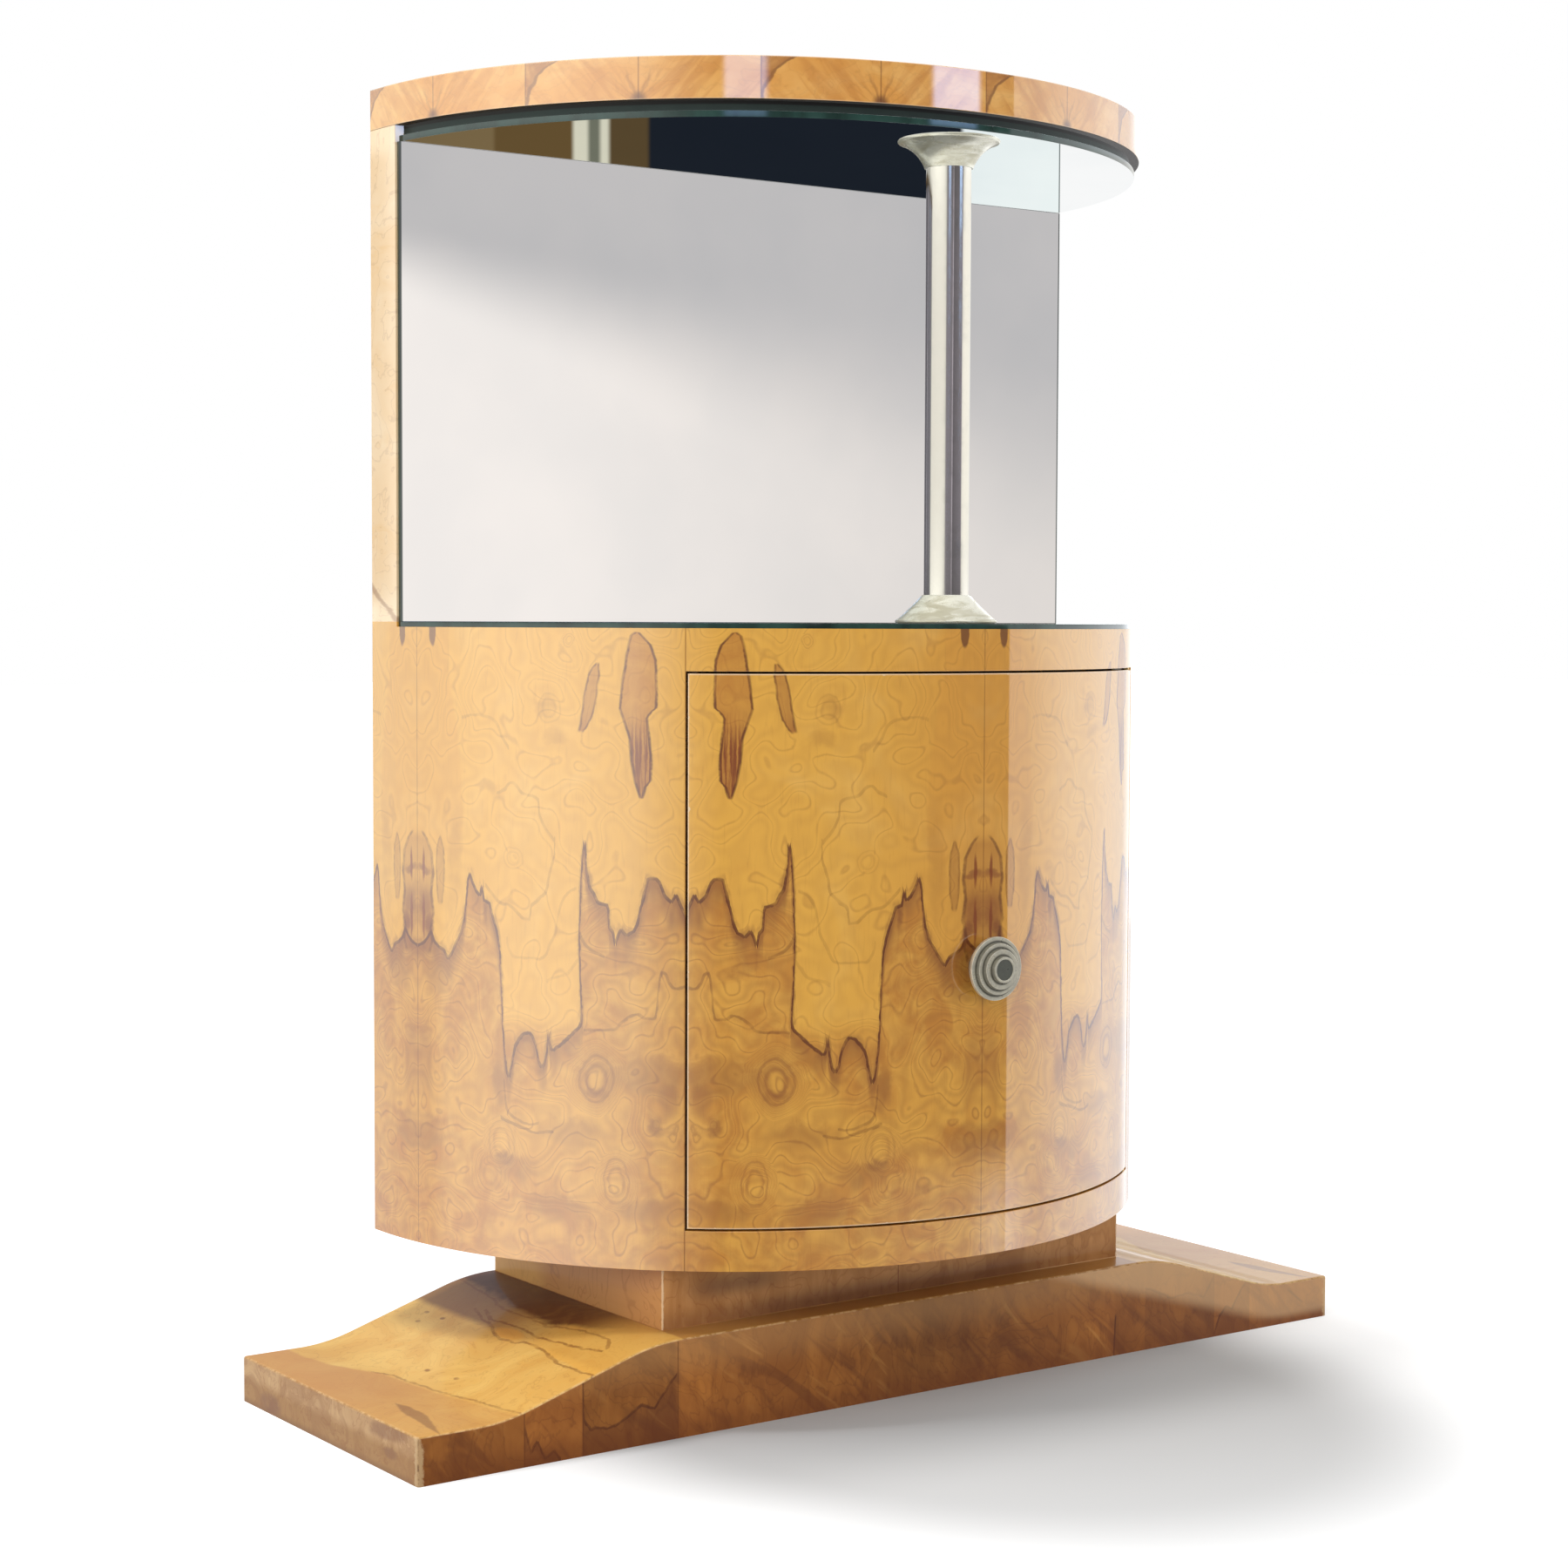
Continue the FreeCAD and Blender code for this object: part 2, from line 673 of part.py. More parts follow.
def make_column():
    tube = upright_rod(tube_radius, 0, column_y, counter_top, bay_top)
    save("column_tube", tube.cut(upright_rod(tube_radius - tube_wall, 0, column_y, counter_top, bay_top)))
    lower = flange()
    lower.translate(point(0, column_y, counter_top))
    save("column_flange_lower", lower)
    upper = flange()
    upper.rotate(point(0, 0), point(1, 0), math.degrees(math.pi))
    upper.translate(point(0, column_y, bay_top))
    save("column_flange_upper", upper)
    rod_top = slab_bottom + insert_length
    save("column_rod", upright_rod(rod_radius, 0, column_y, ceiling - rod_tail, rod_top))
    bore = upright_rod(rod_radius + running_clearance, 0, column_y, ceiling - rod_tail, rod_top)
    sleeve = upright_rod(insert_radius, 0, column_y, slab_bottom, rod_top)
    save("column_insert", sleeve.cut(bore))
    washer_bottom = ceiling - washer_thickness
    save("column_washer", upright_rod(washer_radius, 0, column_y, washer_bottom, ceiling).cut(bore))
    corner_radius = nut_flats / math.sqrt(3)
    corners = []
    for index in range(6):
        turn = index * math.pi / 3
        x = corner_radius * math.cos(turn)
        corners.append(point(x, column_y + corner_radius * math.sin(turn), washer_bottom - nut_height))
    save("column_nut", polygon(corners, nut_height).cut(bore))


# Door

def knob_screw_parts(play=0.0):
    """The knob's screw, from its flat seat inside the door forwards into the stem."""
    seat_y = drum_y - door_inner - knob_seat_depth
    length = door_thickness - knob_seat_depth + rose_thickness + knob_screw_bite
    start = point(0, seat_y, knob_height)
    shank = rod(knob_screw_radius + play, start, FORWARD, length + play)
    head = rod(knob_screw_head_radius + play, start, point(0, 1), knob_screw_head)
    return shank.fuse(head).removeSplitter()


def make_knob():
    shape = Part.makeCylinder(knob_stem_radius, knob_stem_length + knob_step / 2, point(0, 0, rose_thickness))
    base = rose_thickness + knob_stem_length
    for share in knob_step_shares:
        disc = Part.makeCylinder(knob_radius * share, knob_step, point(0, 0, base))
        rims = [edge for edge in disc.Edges if edge.Closed and edge.BoundBox.ZMin > base + knob_step / 2]
        disc = disc.makeFillet(knob_round, rims)
        shape = shape.fuse(disc)
        base += knob_step
    hollow = Part.makeCylinder(knob_radius * knob_recess_share, knob_step, point(0, 0, base - knob_recess))
    shape = outward(shape.cut(hollow).removeSplitter(), drum_y - drum_radius, knob_height)
    save("knob", shape.cut(knob_screw_parts(hole_clearance)))
    rose = outward(Part.makeCylinder(rose_radius, rose_thickness), drum_y - drum_radius, knob_height)
    save("knob_rose", rose.cut(knob_screw_parts(hole_clearance)))
    save("knob_screw", knob_screw_parts())


def catch_case(play=0.0):
    """The catch's cartridge, its face at the origin and its body running towards -X."""
    radius = catch_bore + catch_wall + play
    body = rod(radius, point(0, 0), point(-1, 0), catch_length + play)
    rim = rod(radius + catch_flange, point(0, 0), point(-1, 0), catch_lip + play)
    return body.fuse(rim)


def at_free_edge(shape):
    return on_edge(shape, door_middle, -door_angle, knob_height)


def make_catch():
    back = point(-1, 0)
    hollow = rod(catch_bore, point(-catch_lip, 0), back, catch_length - catch_lip - catch_wall)
    mouth = rod(catch_mouth, point(0, 0), back, catch_length / 2)
    save("catch_case", at_free_edge(cut_all(catch_case(), [hollow, mouth]).removeSplitter()))
    save("catch_ball", at_free_edge(Part.makeSphere(ball_radius, point(-ball_depth, 0))))
    room = catch_length - catch_wall - ball_depth - ball_radius - 2 * slip_clearance
    height = room - 2 * spring_wire
    helix = Part.makeHelix(height / spring_turns, height, spring_radius)
    circle = Part.Circle(point(spring_radius, 0), point(0, 1), spring_wire)
    coil = Part.Wire(helix).makePipeShell([Part.Wire(circle.toShape())], True, True)
    coil.translate(point(0, 0, ball_depth + ball_radius + slip_clearance + spring_wire))
    coil.rotate(point(0, 0), point(0, 1), -math.degrees(math.pi / 2))
    placed = coil.copy()
    turn = FreeCAD.Rotation(UP, math.degrees(math.pi) - door_angle)
    origin = polar(door_middle, -door_angle, knob_height)
    placed.Placement = FreeCAD.Placement(origin, turn).multiply(coil.Placement)
    save("catch_spring", placed)


def make_door():
    panel = band(door_inner, drum_radius, -door_angle, door_angle, door_bottom, door_top)
    outer_ends = []
    for edge in panel.Edges:
        middle = edge.CenterOfMass
        reach = math.hypot(middle.x, middle.y - drum_y)
        if abs(edge.Length - (door_top - door_bottom)) < running_clearance and reach > door_middle:
            outer_ends.append(edge)
    panel = panel.makeFillet(door_edge_round, outer_ends)
    tail_room = pin_radius + hole_clearance
    deep = leaf_thickness + pin_tail + overrun
    cuts = [let_in(door_top - leaf_thickness, door_top), let_in(door_bottom, door_bottom + leaf_thickness)]
    cuts.append(pivot_rod(tail_room, door_top - deep, door_top))
    cuts.append(pivot_rod(tail_room, door_bottom, door_bottom + deep))
    cuts += door_hinge_holes()
    cuts.append(knob_screw_parts(hole_clearance))
    cuts.append(at_free_edge(catch_case(hole_clearance)))
    save("door_panel", cut_all(panel, cuts))


os.makedirs("parts", exist_ok=True)
make_plinth()
make_riser()
make_drum()
make_shelf()
make_back()
make_glass()
make_slab()
make_column()
make_hinges()
make_door()
make_knob()
make_catch()

# Places that the joints, mounts and openings need
pivot = polar(pivot_radius, pivot_angle)
print("hinge axis", pivot.x, pivot.y)
catch_turn = math.pi - math.radians(door_angle)
print("catch", polar(door_middle, -door_angle, knob_height), math.cos(catch_turn), math.sin(catch_turn))
print("drum axis y", drum_y, "back y", back_y, "stile front y", stile_front_y, "board y", board_front_y)
print("floor top", floor_top, "shelf", shelf_bottom, "head bottom", head_bottom, "ceiling", ceiling)
print("counter", counter_top, "bay top", bay_top, "slab top", slab_top, "column y", column_y)
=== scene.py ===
import json
import math
from functools import partialmethod, reduce

import bmesh
import bpy
from bpy.props import FloatProperty, FloatVectorProperty, PointerProperty
from mathutils import Matrix, Vector


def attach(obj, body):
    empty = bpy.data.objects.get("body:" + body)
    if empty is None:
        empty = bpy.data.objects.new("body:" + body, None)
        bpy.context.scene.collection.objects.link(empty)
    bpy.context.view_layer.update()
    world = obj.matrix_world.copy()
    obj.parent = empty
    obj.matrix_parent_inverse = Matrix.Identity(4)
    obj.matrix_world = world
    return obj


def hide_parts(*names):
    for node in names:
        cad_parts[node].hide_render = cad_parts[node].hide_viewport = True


bl_info = {
    "name": "Half-round bar cabinet",
    "version": (1, 0, 0),
    "blender": (4, 5, 0),
    "location": "3D View > Sidebar > Cabinet",
    "description": "Builds a half-round veneered bar cabinet around its CAD frame",
    "category": "Object",
}

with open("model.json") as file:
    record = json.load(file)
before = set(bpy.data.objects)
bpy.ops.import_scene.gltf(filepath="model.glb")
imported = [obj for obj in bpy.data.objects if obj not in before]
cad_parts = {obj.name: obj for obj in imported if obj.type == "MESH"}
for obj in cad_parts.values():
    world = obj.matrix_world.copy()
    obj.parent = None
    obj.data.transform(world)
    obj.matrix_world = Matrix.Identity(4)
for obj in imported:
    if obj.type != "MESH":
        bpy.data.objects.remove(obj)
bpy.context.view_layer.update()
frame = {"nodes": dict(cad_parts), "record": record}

# Places of the CAD model, in millimetres. The drum turns about an upright axis at (0, DRUM_Y).
DRUM_Y = 219.15
DRUM_R = 430.0
DOOR_IN = 411.0
SHELL_IN = 410.0
BACK_Y = 235.15
STILE_Y = 186.15
STILE_X = 400.0
JAMB = 40.7
DOOR_EDGE = 40.43351
DRUM_LOW = 156.0
FLOOR_TOP = 194.5
DOOR_LOW = 196.5
DOOR_HIGH = 723.0
HEAD_LOW = 725.0
DRUM_HIGH = 765.5
COUNTER = 770.5
BAY_HIGH = 1240.5
RECESS = 1246.5
SLAB_LOW = 1256.5
SLAB_HIGH = 1296.5
LIPPING = 15.0
COUNTER_INSET = 2.5
MIRROR_INSET = 5.0
RECESS_INSET = 10.0
BACK_GLASS = 5.0
DOOR_ARRIS = 1.2
PLATE_ARRIS = 0.8
MIRROR_ARRIS = 0.5
KNOB_Z = 438.0
KNOB_R = 31.0
KNOB_STEPS = (1.0, 0.81, 0.63, 0.41)
KNOB_STEP = 4.2
KNOB_BACK = 13.5
KNOB_BEAD = 1.9
STEM_R = 9.0
HOLLOW_R = 10.23
HOLLOW_DEPTH = 0.8
ROSE_R = 21.0
ROSE_THICK = 2.5
ROSE_BEAD = 0.8
COLUMN_Y = -146.35
TUBE_R = 22.0
TUBE_IN = 20.4
PLINTH_X = 573.0
PLINTH_FRONT = -117.85
PLINTH_BACK = 241.15
PLINTH_BOARD = 20.0
PLINTH_SKIN = 6.0
END_HIGH = 45.0
END_FLAT = 60.0
CROWN = 95.0
CROWN_X = 290.0
OGEE_R = 200.0
RISER_FRONT = -82.85
RISER_BOARD = 20.0
SIDES = (("left", -1), ("right", 1))

# Millimetres of veneer in one degree of the drum
ARC = 7.5

# The photographed mirror shows neither the column nor the slab, so reflections leave these out
UNMIRRORED = ("slab_band", "slab_board", "slab_packing", "slab_mirror", "post_tube", "flange_low",
              "flange_high")

# The matched camera: yaw, pitch and roll in degrees, its place in metres and its lens in millimetres
CAMERA_TURNS = (35.61, -3.176, 0.208)
CAMERA_SPOT = (-1.8156, -2.40945, 0.7730)
LENS = 67.64

# Name, place, size and power of each lamp, what they aim at, and the level of the light from all round
LAMPS = (("soft_box", (-3.2, -1.8, 2.8), 2.6, 40.0), ("top_box", (-0.9, 0.5, 4.4), 1.1, 95.0))
AIM = Vector((0, 0, 0.6))
DAYLIGHT = 0.95


def paint(red, green, blue):
    """A display colour, 0 to 255, as the linear colour that the shaders take."""
    shares = [level / 255 for level in (red, green, blue)]
    return [share / 12.92 if share <= 0.04045 else ((share + 0.055) / 1.055) ** 2.4 for share in shares]


def darker(tone, share):
    return [level * share for level in tone]


def size_prop(name, text, default, low, high):
    return FloatProperty(name=name, description=text, default=default, min=low, max=high)


def paint_prop(name, text, *levels):
    return FloatVectorProperty(name=name, description=text, default=paint(*levels), size=3,
                               subtype="COLOR", min=0.0, max=1.0)


class CabinetSizes(bpy.types.PropertyGroup):
    """Sizes of the finish, in millimetres and degrees about the drum's axis."""
    arris: size_prop("Arris", "Rounding of the veneered edges, mm", 0.7, 0.1, 2.0)
    plinth_arris: size_prop("Plinth arris", "Rounding of the plinth's worn edges, mm", 2.6, 0.1, 4.0)
    leaf: size_prop("Drum leaf", "Width of one veneer leaf on the drum, degrees", 40.3, 10.0, 90.0)
    seam: size_prop("Middle seam", "Where the drum's middle seam is, degrees", -0.42, -20.0, 20.0)
    slab_leaf: size_prop("Slab leaf", "Width of one leaf on the slab's edge, degrees", 15.3, 5.0, 45.0)
    pore: size_prop("Pore bump", "Depth of the grain in the lacquer, mm", 0.02, 0.0, 0.5)


class CabinetColours(bpy.types.PropertyGroup):
    """Colours of the finishes."""
    honey: paint_prop("Honey", "The veneer's pale ground", 242, 196, 112)
    gold: paint_prop("Gold", "The veneer's golden ground", 231, 173, 70)
    amber: paint_prop("Amber", "The veneer's deep orange", 214, 148, 56)
    tan: paint_prop("Tan", "The burr's lighter brown", 220, 162, 68)
    brown: paint_prop("Brown", "The burr's brown", 197, 132, 50)
    burnt: paint_prop("Burnt brown", "The figure's shadows", 138, 80, 38)
    ink: paint_prop("Ink", "The dark lines of the figure", 96, 40, 14)
    plum: paint_prop("Plum", "The purple-brown streaks", 96, 50, 40)
    worn: paint_prop("Worn edge", "The bare wood of worn edges", 236, 212, 176)
    inner: paint_prop("Inner wood", "The wood inside the drum", 176, 124, 76)
    raw: paint_prop("Raw wood", "The unseen boards", 186, 152, 112)
    edge_glass: paint_prop("Glass edge", "The ground edges of the glass", 42, 72, 66)
    nickel: paint_prop("Nickel", "The column", 234, 230, 220)
    pewter: paint_prop("Pewter", "The knob", 214, 208, 190)
    brass: paint_prop("Brass", "The hinges and pins", 214, 178, 110)
    steel: paint_prop("Steel", "The screws and rod", 178, 178, 180)
    floor: paint_prop("Floor", "The studio's floor", 188, 190, 192)


def settings_of(scene):
    return scene.cabinet_sizes, scene.cabinet_colours


# Shader maths

class Wire:
    """A socket in a node tree; the usual operators add the nodes of an expression."""

    def __init__(self, tree, socket=None):
        self.tree = tree
        self.socket = socket

    def node(self, kind, settings=None, inputs=None, output=0):
        """Any shader node: its settings first, then the values or links of its sockets."""
        made = self.tree.nodes.new("ShaderNode" + kind)
        for key, value in (settings or {}).items():
            if key == "points":
                fill_curve(made.mapping, *value)
            else:
                setattr(made, key, value)
        for key, value in (inputs or {}).items():
            if isinstance(value, Wire):
                self.tree.links.new(value.socket, made.inputs[key])
            else:
                made.inputs[key].default_value = value
        return Wire(self.tree, made.outputs[output])

    def maths(self, operation, *others):
        return self.node("Math", {"operation": operation}, dict(enumerate((self,) + others)))

    __add__ = __radd__ = partialmethod(maths, "ADD")
    __sub__ = partialmethod(maths, "SUBTRACT")
    __mul__ = __rmul__ = partialmethod(maths, "MULTIPLY")
    __truediv__ = partialmethod(maths, "DIVIDE")
    __pow__ = partialmethod(maths, "POWER")
    __gt__ = partialmethod(maths, "GREATER_THAN")
    __lt__ = partialmethod(maths, "LESS_THAN")
    either = partialmethod(maths, "MAXIMUM")
    both = partialmethod(maths, "MINIMUM")
    size = partialmethod(maths, "ABSOLUTE")

    def __rsub__(self, other):
        return self * -1 + other

    def step(self, low, high, start=0.0, end=1.0):
        """A smooth step from start to end while the value goes from low to high."""
        settings = {"interpolation_type": "SMOOTHSTEP"}
        return self.node("MapRange", settings, {0: self, 1: low, 2: high, 3: start, 4: end})

    def drop(self, low, high, start=1.0):
        """A smooth step from start down to 0."""
        return self.step(low, high, start, 0.0)

    def near(self, place, reach, flat=0.0, start=1.0):
        """Start up to a flat distance from a place, falling smoothly to 0 at its reach."""
        return (self - place).size().drop(flat, reach, start)

    def oval(self, wide, other, tall):
        """The square of the distance from the middle of an oval, 1 on its rim."""
        return (self / wide) ** 2 + (other / tall) ** 2

    def contours(self, count, width):
        """Thin lines of equal height on a smooth field, as growth lines run in a burr."""
        return (self * count).maths("FRACT").near(0.5, width)

    def curve(self, points, soft=False):
        """A drawn curve through (place, value) pairs, straight between them or soft."""
        low, high = points[0][0], points[-1][0]
        values = [value for _, value in points]
        bottom = min(values)
        height = max(max(values) - bottom, 1e-3)
        spots = [((place - low) / (high - low), (value - bottom) / height) for place, value in points]
        settings = {"points": (spots, "AUTO_CLAMPED" if soft else "VECTOR")}
        drawn = self.node("FloatCurve", settings, {0: 1.0, 1: (self - low) / (high - low)})
        return drawn * height + bottom

    def vector(self, y=0.0, z=0.0):
        return self.node("CombineXYZ", None, {0: self, 1: y, 2: z})

    def split(self):
        """The x, y and z of a vector."""
        outputs = self.node("SeparateXYZ", None, {0: self}).socket.node.outputs
        return [Wire(self.tree, socket) for socket in outputs]

    def coordinates(self, output):
        """An output of the coordinates as x, y and z: 0 the way, 1 the normal, 3 the place in metres."""
        return self.node("TexCoord", output=output).split()

    def noise(self, scale, detail=3.0, rough=0.5, distortion=0.0):
        return self.node("TexNoise", None, {"Vector": self, "Scale": scale, "Detail": detail,
                                            "Roughness": rough, "Distortion": distortion})

    def blend(self, low, high):
        """Mix two colours, with this value as the factor."""
        settings = {"data_type": "RGBA", "clamp_factor": True}
        return self.node("Mix", settings, {0: self, 6: colour(low), 7: colour(high)}, 2)

    def scaled(self, shade):
        """A colour times this value."""
        return self.node("VectorMath", {"operation": "SCALE"}, {0: shade, "Scale": self})


def colour(value):
    return value if isinstance(value, Wire) else (*value, 1.0)


def strongest(masks):
    return reduce(Wire.either, masks)


def fill_curve(mapping, spots, handle):
    line = mapping.curves[0]
    mapping.extend = "HORIZONTAL"
    while len(line.points) < len(spots):
        line.points.new(1.0, 1.0)
    for spot, place in zip(line.points, spots):
        spot.location = place
        spot.handle_type = handle
    mapping.update()


class Coat:
    """A colour on which others are laid, each through a mask."""

    def __init__(self, mask, low, high):
        self.shade = mask.blend(low, high)

    def lay(self, mask, shade):
        self.shade = mask.blend(self.shade, shade)


class Finish:
    """A new material with one Principled shader."""

    def __init__(self, name, **sockets):
        self.material = bpy.data.materials.new(name)
        self.material.use_nodes = True
        self.tree = self.material.node_tree
        self.shader = next(node for node in self.tree.nodes if node.type == "BSDF_PRINCIPLED")
        self.start = Wire(self.tree)
        for socket, value in sockets.items():
            self.set(socket.replace("_", " "), value)

    def set(self, socket, value):
        if isinstance(value, Coat):
            value = value.shade
        if isinstance(value, Wire):
            self.tree.links.new(value.socket, self.shader.inputs[socket])
        elif isinstance(value, (int, float)):
            self.shader.inputs[socket].default_value = value
        else:
            self.shader.inputs[socket].default_value = colour(value)

    def places(self):
        """The object's own x, y and z in millimetres."""
        return [part * 1000 for part in self.start.coordinates(3)]

    def drum_places(self):
        """Angle about the drum's axis in degrees, and height in millimetres."""
        x, y, z = self.places()
        return x.maths("ARCTAN2", DRUM_Y - y) * math.degrees(1), z

    def bump(self, height, depth_mm, strength):
        inputs = {"Strength": strength, "Distance": depth_mm / 1000, "Height": height}
        self.set("Normal", self.start.node("Bump", None, inputs))


LACQUER = {"Roughness": 0.45, "Specular_IOR_Level": 0.2, "Coat_Weight": 1.0, "Coat_Roughness": 0.03,
           "Coat_IOR": 2.2}


# Meshes, in millimetres until they are finished

def polar(radius, angle, z=0.0):
    turn = math.radians(angle)
    return Vector((radius * math.sin(turn), DRUM_Y - radius * math.cos(turn), z))


def outside(edge):
    """Whether an edge lies on the drum's outer face."""
    return all(math.hypot(vert.co.x, vert.co.y - DRUM_Y) > DRUM_R - 1 for vert in edge.verts)


def upright(edge):
    return abs(edge.verts[0].co.z - edge.verts[1].co.z) > 1


def everything(bm):
    return bm.verts[:] + bm.edges[:] + bm.faces[:]


def clean(bm):
    bmesh.ops.remove_doubles(bm, verts=bm.verts, dist=0.001)
    bmesh.ops.recalc_face_normals(bm, faces=bm.faces)


def chain(bm, verts):
    return [bm.edges.new(pair) for pair in zip(verts, verts[1:])]


def spin(bm, geom, centre, axis, angle, steps, merge=False):
    return bmesh.ops.spin(bm, geom=geom, cent=centre, axis=axis, dvec=(0, 0, 0), angle=angle,
                          steps=steps, use_merge=merge, use_duplicate=False)


def stand(bm, spot, turn=0.0, axis="X"):
    """Turn a shape about an axis through the origin, then move it to its spot."""
    turned_by = Matrix.Rotation(math.radians(turn), 3, axis)
    bmesh.ops.rotate(bm, verts=bm.verts, cent=(0, 0, 0), matrix=turned_by)
    bmesh.ops.translate(bm, verts=bm.verts, vec=spot)


def round_edges(bm, width, picked=None, segments=3, angle=40.0):
    """Bevel the sharp edges, or those of them that are picked."""
    clean(bm)
    sharp = [edge for edge in bm.edges
             if len(edge.link_faces) == 2 and edge.calc_face_angle() > math.radians(angle)]
    edges = [edge for edge in sharp if picked is None or picked(edge)]
    bmesh.ops.bevel(bm, geom=edges, offset=width, offset_type="OFFSET", segments=segments,
                    profile=0.5, affect="EDGES", material=-1, clamp_overlap=True)


def cut(bm, place, normal):
    """Cut off what lies beyond a plane, and close the cut."""
    bmesh.ops.bisect_plane(bm, geom=everything(bm), dist=1e-4, plane_co=place, plane_no=normal,
                           clear_outer=True)
    rims = [edge for edge in bm.edges if edge.is_boundary]
    bmesh.ops.holes_fill(bm, edges=rims, sides=0)


def push(bm, faces, way):
    """Extrude faces along a way."""
    grown = bmesh.ops.extrude_face_region(bm, geom=faces)
    verts = [item for item in grown["geom"] if isinstance(item, bmesh.types.BMVert)]
    bmesh.ops.translate(bm, verts=verts, vec=way)


def raised(bm, edges, way):
    """Fill closed edges and raise the face to a solid."""
    push(bm, bmesh.ops.edgeloop_fill(bm, edges=edges)["faces"], way)


def half_plan(radius, straight_y, low, high):
    """A half-round board whose straight side is at straight_y."""
    bm = bmesh.new()
    end_y = min(straight_y, DRUM_Y)
    half_turn = math.acos((DRUM_Y - end_y) / radius)
    first = bm.verts.new(polar(radius, -math.degrees(half_turn), low))
    arc = spin(bm, [first], (0, DRUM_Y, 0), (0, 0, 1), 2 * half_turn, 172)
    last = arc["geom_last"][0]
    corners = []
    if straight_y > end_y:
        corners = [bm.verts.new((end.co.x, straight_y, low)) for end in (last, first)]
    edges = bm.edges[:] + chain(bm, [last] + corners + [first])
    raised(bm, edges, (0, 0, high - low))
    return bm


def bent_board(inner, outer, first, last, low, high, tail=0.0):
    """A board bent about the drum's axis between two angles; tail carries its ends straight back."""
    bm = bmesh.new()
    corners = ((inner, low), (outer, low), (outer, high), (inner, high))
    bm.faces.new([bm.verts.new(polar(radius, first, z)) for radius, z in corners])
    steps = max(2, round(last - first))
    spin(bm, everything(bm), (0, DRUM_Y, 0), (0, 0, 1), math.radians(last - first), steps)
    if tail:
        ends = [face for face in bm.faces if abs(abs(face.normal.y) - 1) < 1e-4
                and abs(face.calc_center_median().y - DRUM_Y) < 0.01]
        for end in ends:
            push(bm, [end], (0, tail, 0))
        bmesh.ops.delete(bm, geom=ends, context="FACES_ONLY")
    return bm


def block(low, high):
    bm = bmesh.new()
    low, high = Vector(low), Vector(high)
    place = Matrix.Translation((low + high) / 2) @ Matrix.Diagonal((*(high - low), 1.0))
    bmesh.ops.create_cube(bm, size=1.0, matrix=place)
    return bm


def turned(profile, rounded=(), width=0.0, segments=4):
    """A shape turned about +Z from (radius, height) pairs; the rounded ones get a bevel."""
    bm = bmesh.new()
    chain(bm, [bm.verts.new((radius, 0, height)) for radius, height in profile])
    spin(bm, everything(bm), (0, 0, 0), (0, 0, 1), math.tau, 96, merge=True)
    clean(bm)

    def picked(edge):
        spots = [(math.hypot(vert.co.x, vert.co.y), vert.co.z) for vert in edge.verts]
        return any(all(abs(spot[0] - r) < 0.01 and abs(spot[1] - z) < 0.01 for spot in spots)
                   for r, z in rounded)

    if rounded:
        round_edges(bm, width, picked, segments, 20.0)
    return bm


def named(name):
    """A finish that an earlier operator has made."""
    return bpy.data.materials[name]


def piece(name, bm, finish, *nodes, slot="veneer", body="cabinet", sharp=35.0):
    """Finish a mesh as a piece that rides on a body and stands for CAD nodes."""
    clean(bm)
    bmesh.ops.scale(bm, vec=(0.001, 0.001, 0.001), verts=bm.verts)
    mesh = bpy.data.meshes.new(name)
    bm.to_mesh(mesh)
    bm.free()
    mesh.materials.append(named(finish))
    mesh.shade_smooth()
    mesh.set_sharp_from_angle(angle=math.radians(sharp))
    made = bpy.data.objects.new(name, mesh)
    bpy.context.scene.collection.objects.link(made)
    even = made.modifiers.new("Even shading", "WEIGHTED_NORMAL")
    even.keep_sharp = True
    even.weight = 100
    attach(made, body)
    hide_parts(*nodes)
    made.visible_glossy = name not in UNMIRRORED
    return made


def refinish(made, finish, picked):
    """Give the faces that are picked a second finish."""
    made.data.materials.append(named(finish))
    for part in made.data.polygons:
        if picked(part):
            part.material_index = 1


def line_inside(made, radius):
    """Give the inner side of a bent board the plain inner veneer."""
    refinish(made, "inner_board", lambda part: math.hypot(
        part.center.x * 1000, part.center.y * 1000 - DRUM_Y) < radius + 1.0)


# Veneers

def stroke(across, up, points, width, reach=0.12, soft=False):
    """A drawn line: reach is half its width where it's steep, width where it's level."""
    behind = (across - reach).curve(points, soft)
    ahead = (across + reach).curve(points, soft)
    away = (up - (behind + ahead) * 0.5).size() - (ahead - behind).size() * 0.5
    return away.drop(width * 0.25, width) * between(across, points)


def between(across, points):
    return (across > points[0][0]) * (across < points[-1][0])


def fill_under(across, up, points):
    """1 below a drawn line."""
    return (across.curve(points) - up).step(-0.8, 0.8) * between(across, points)


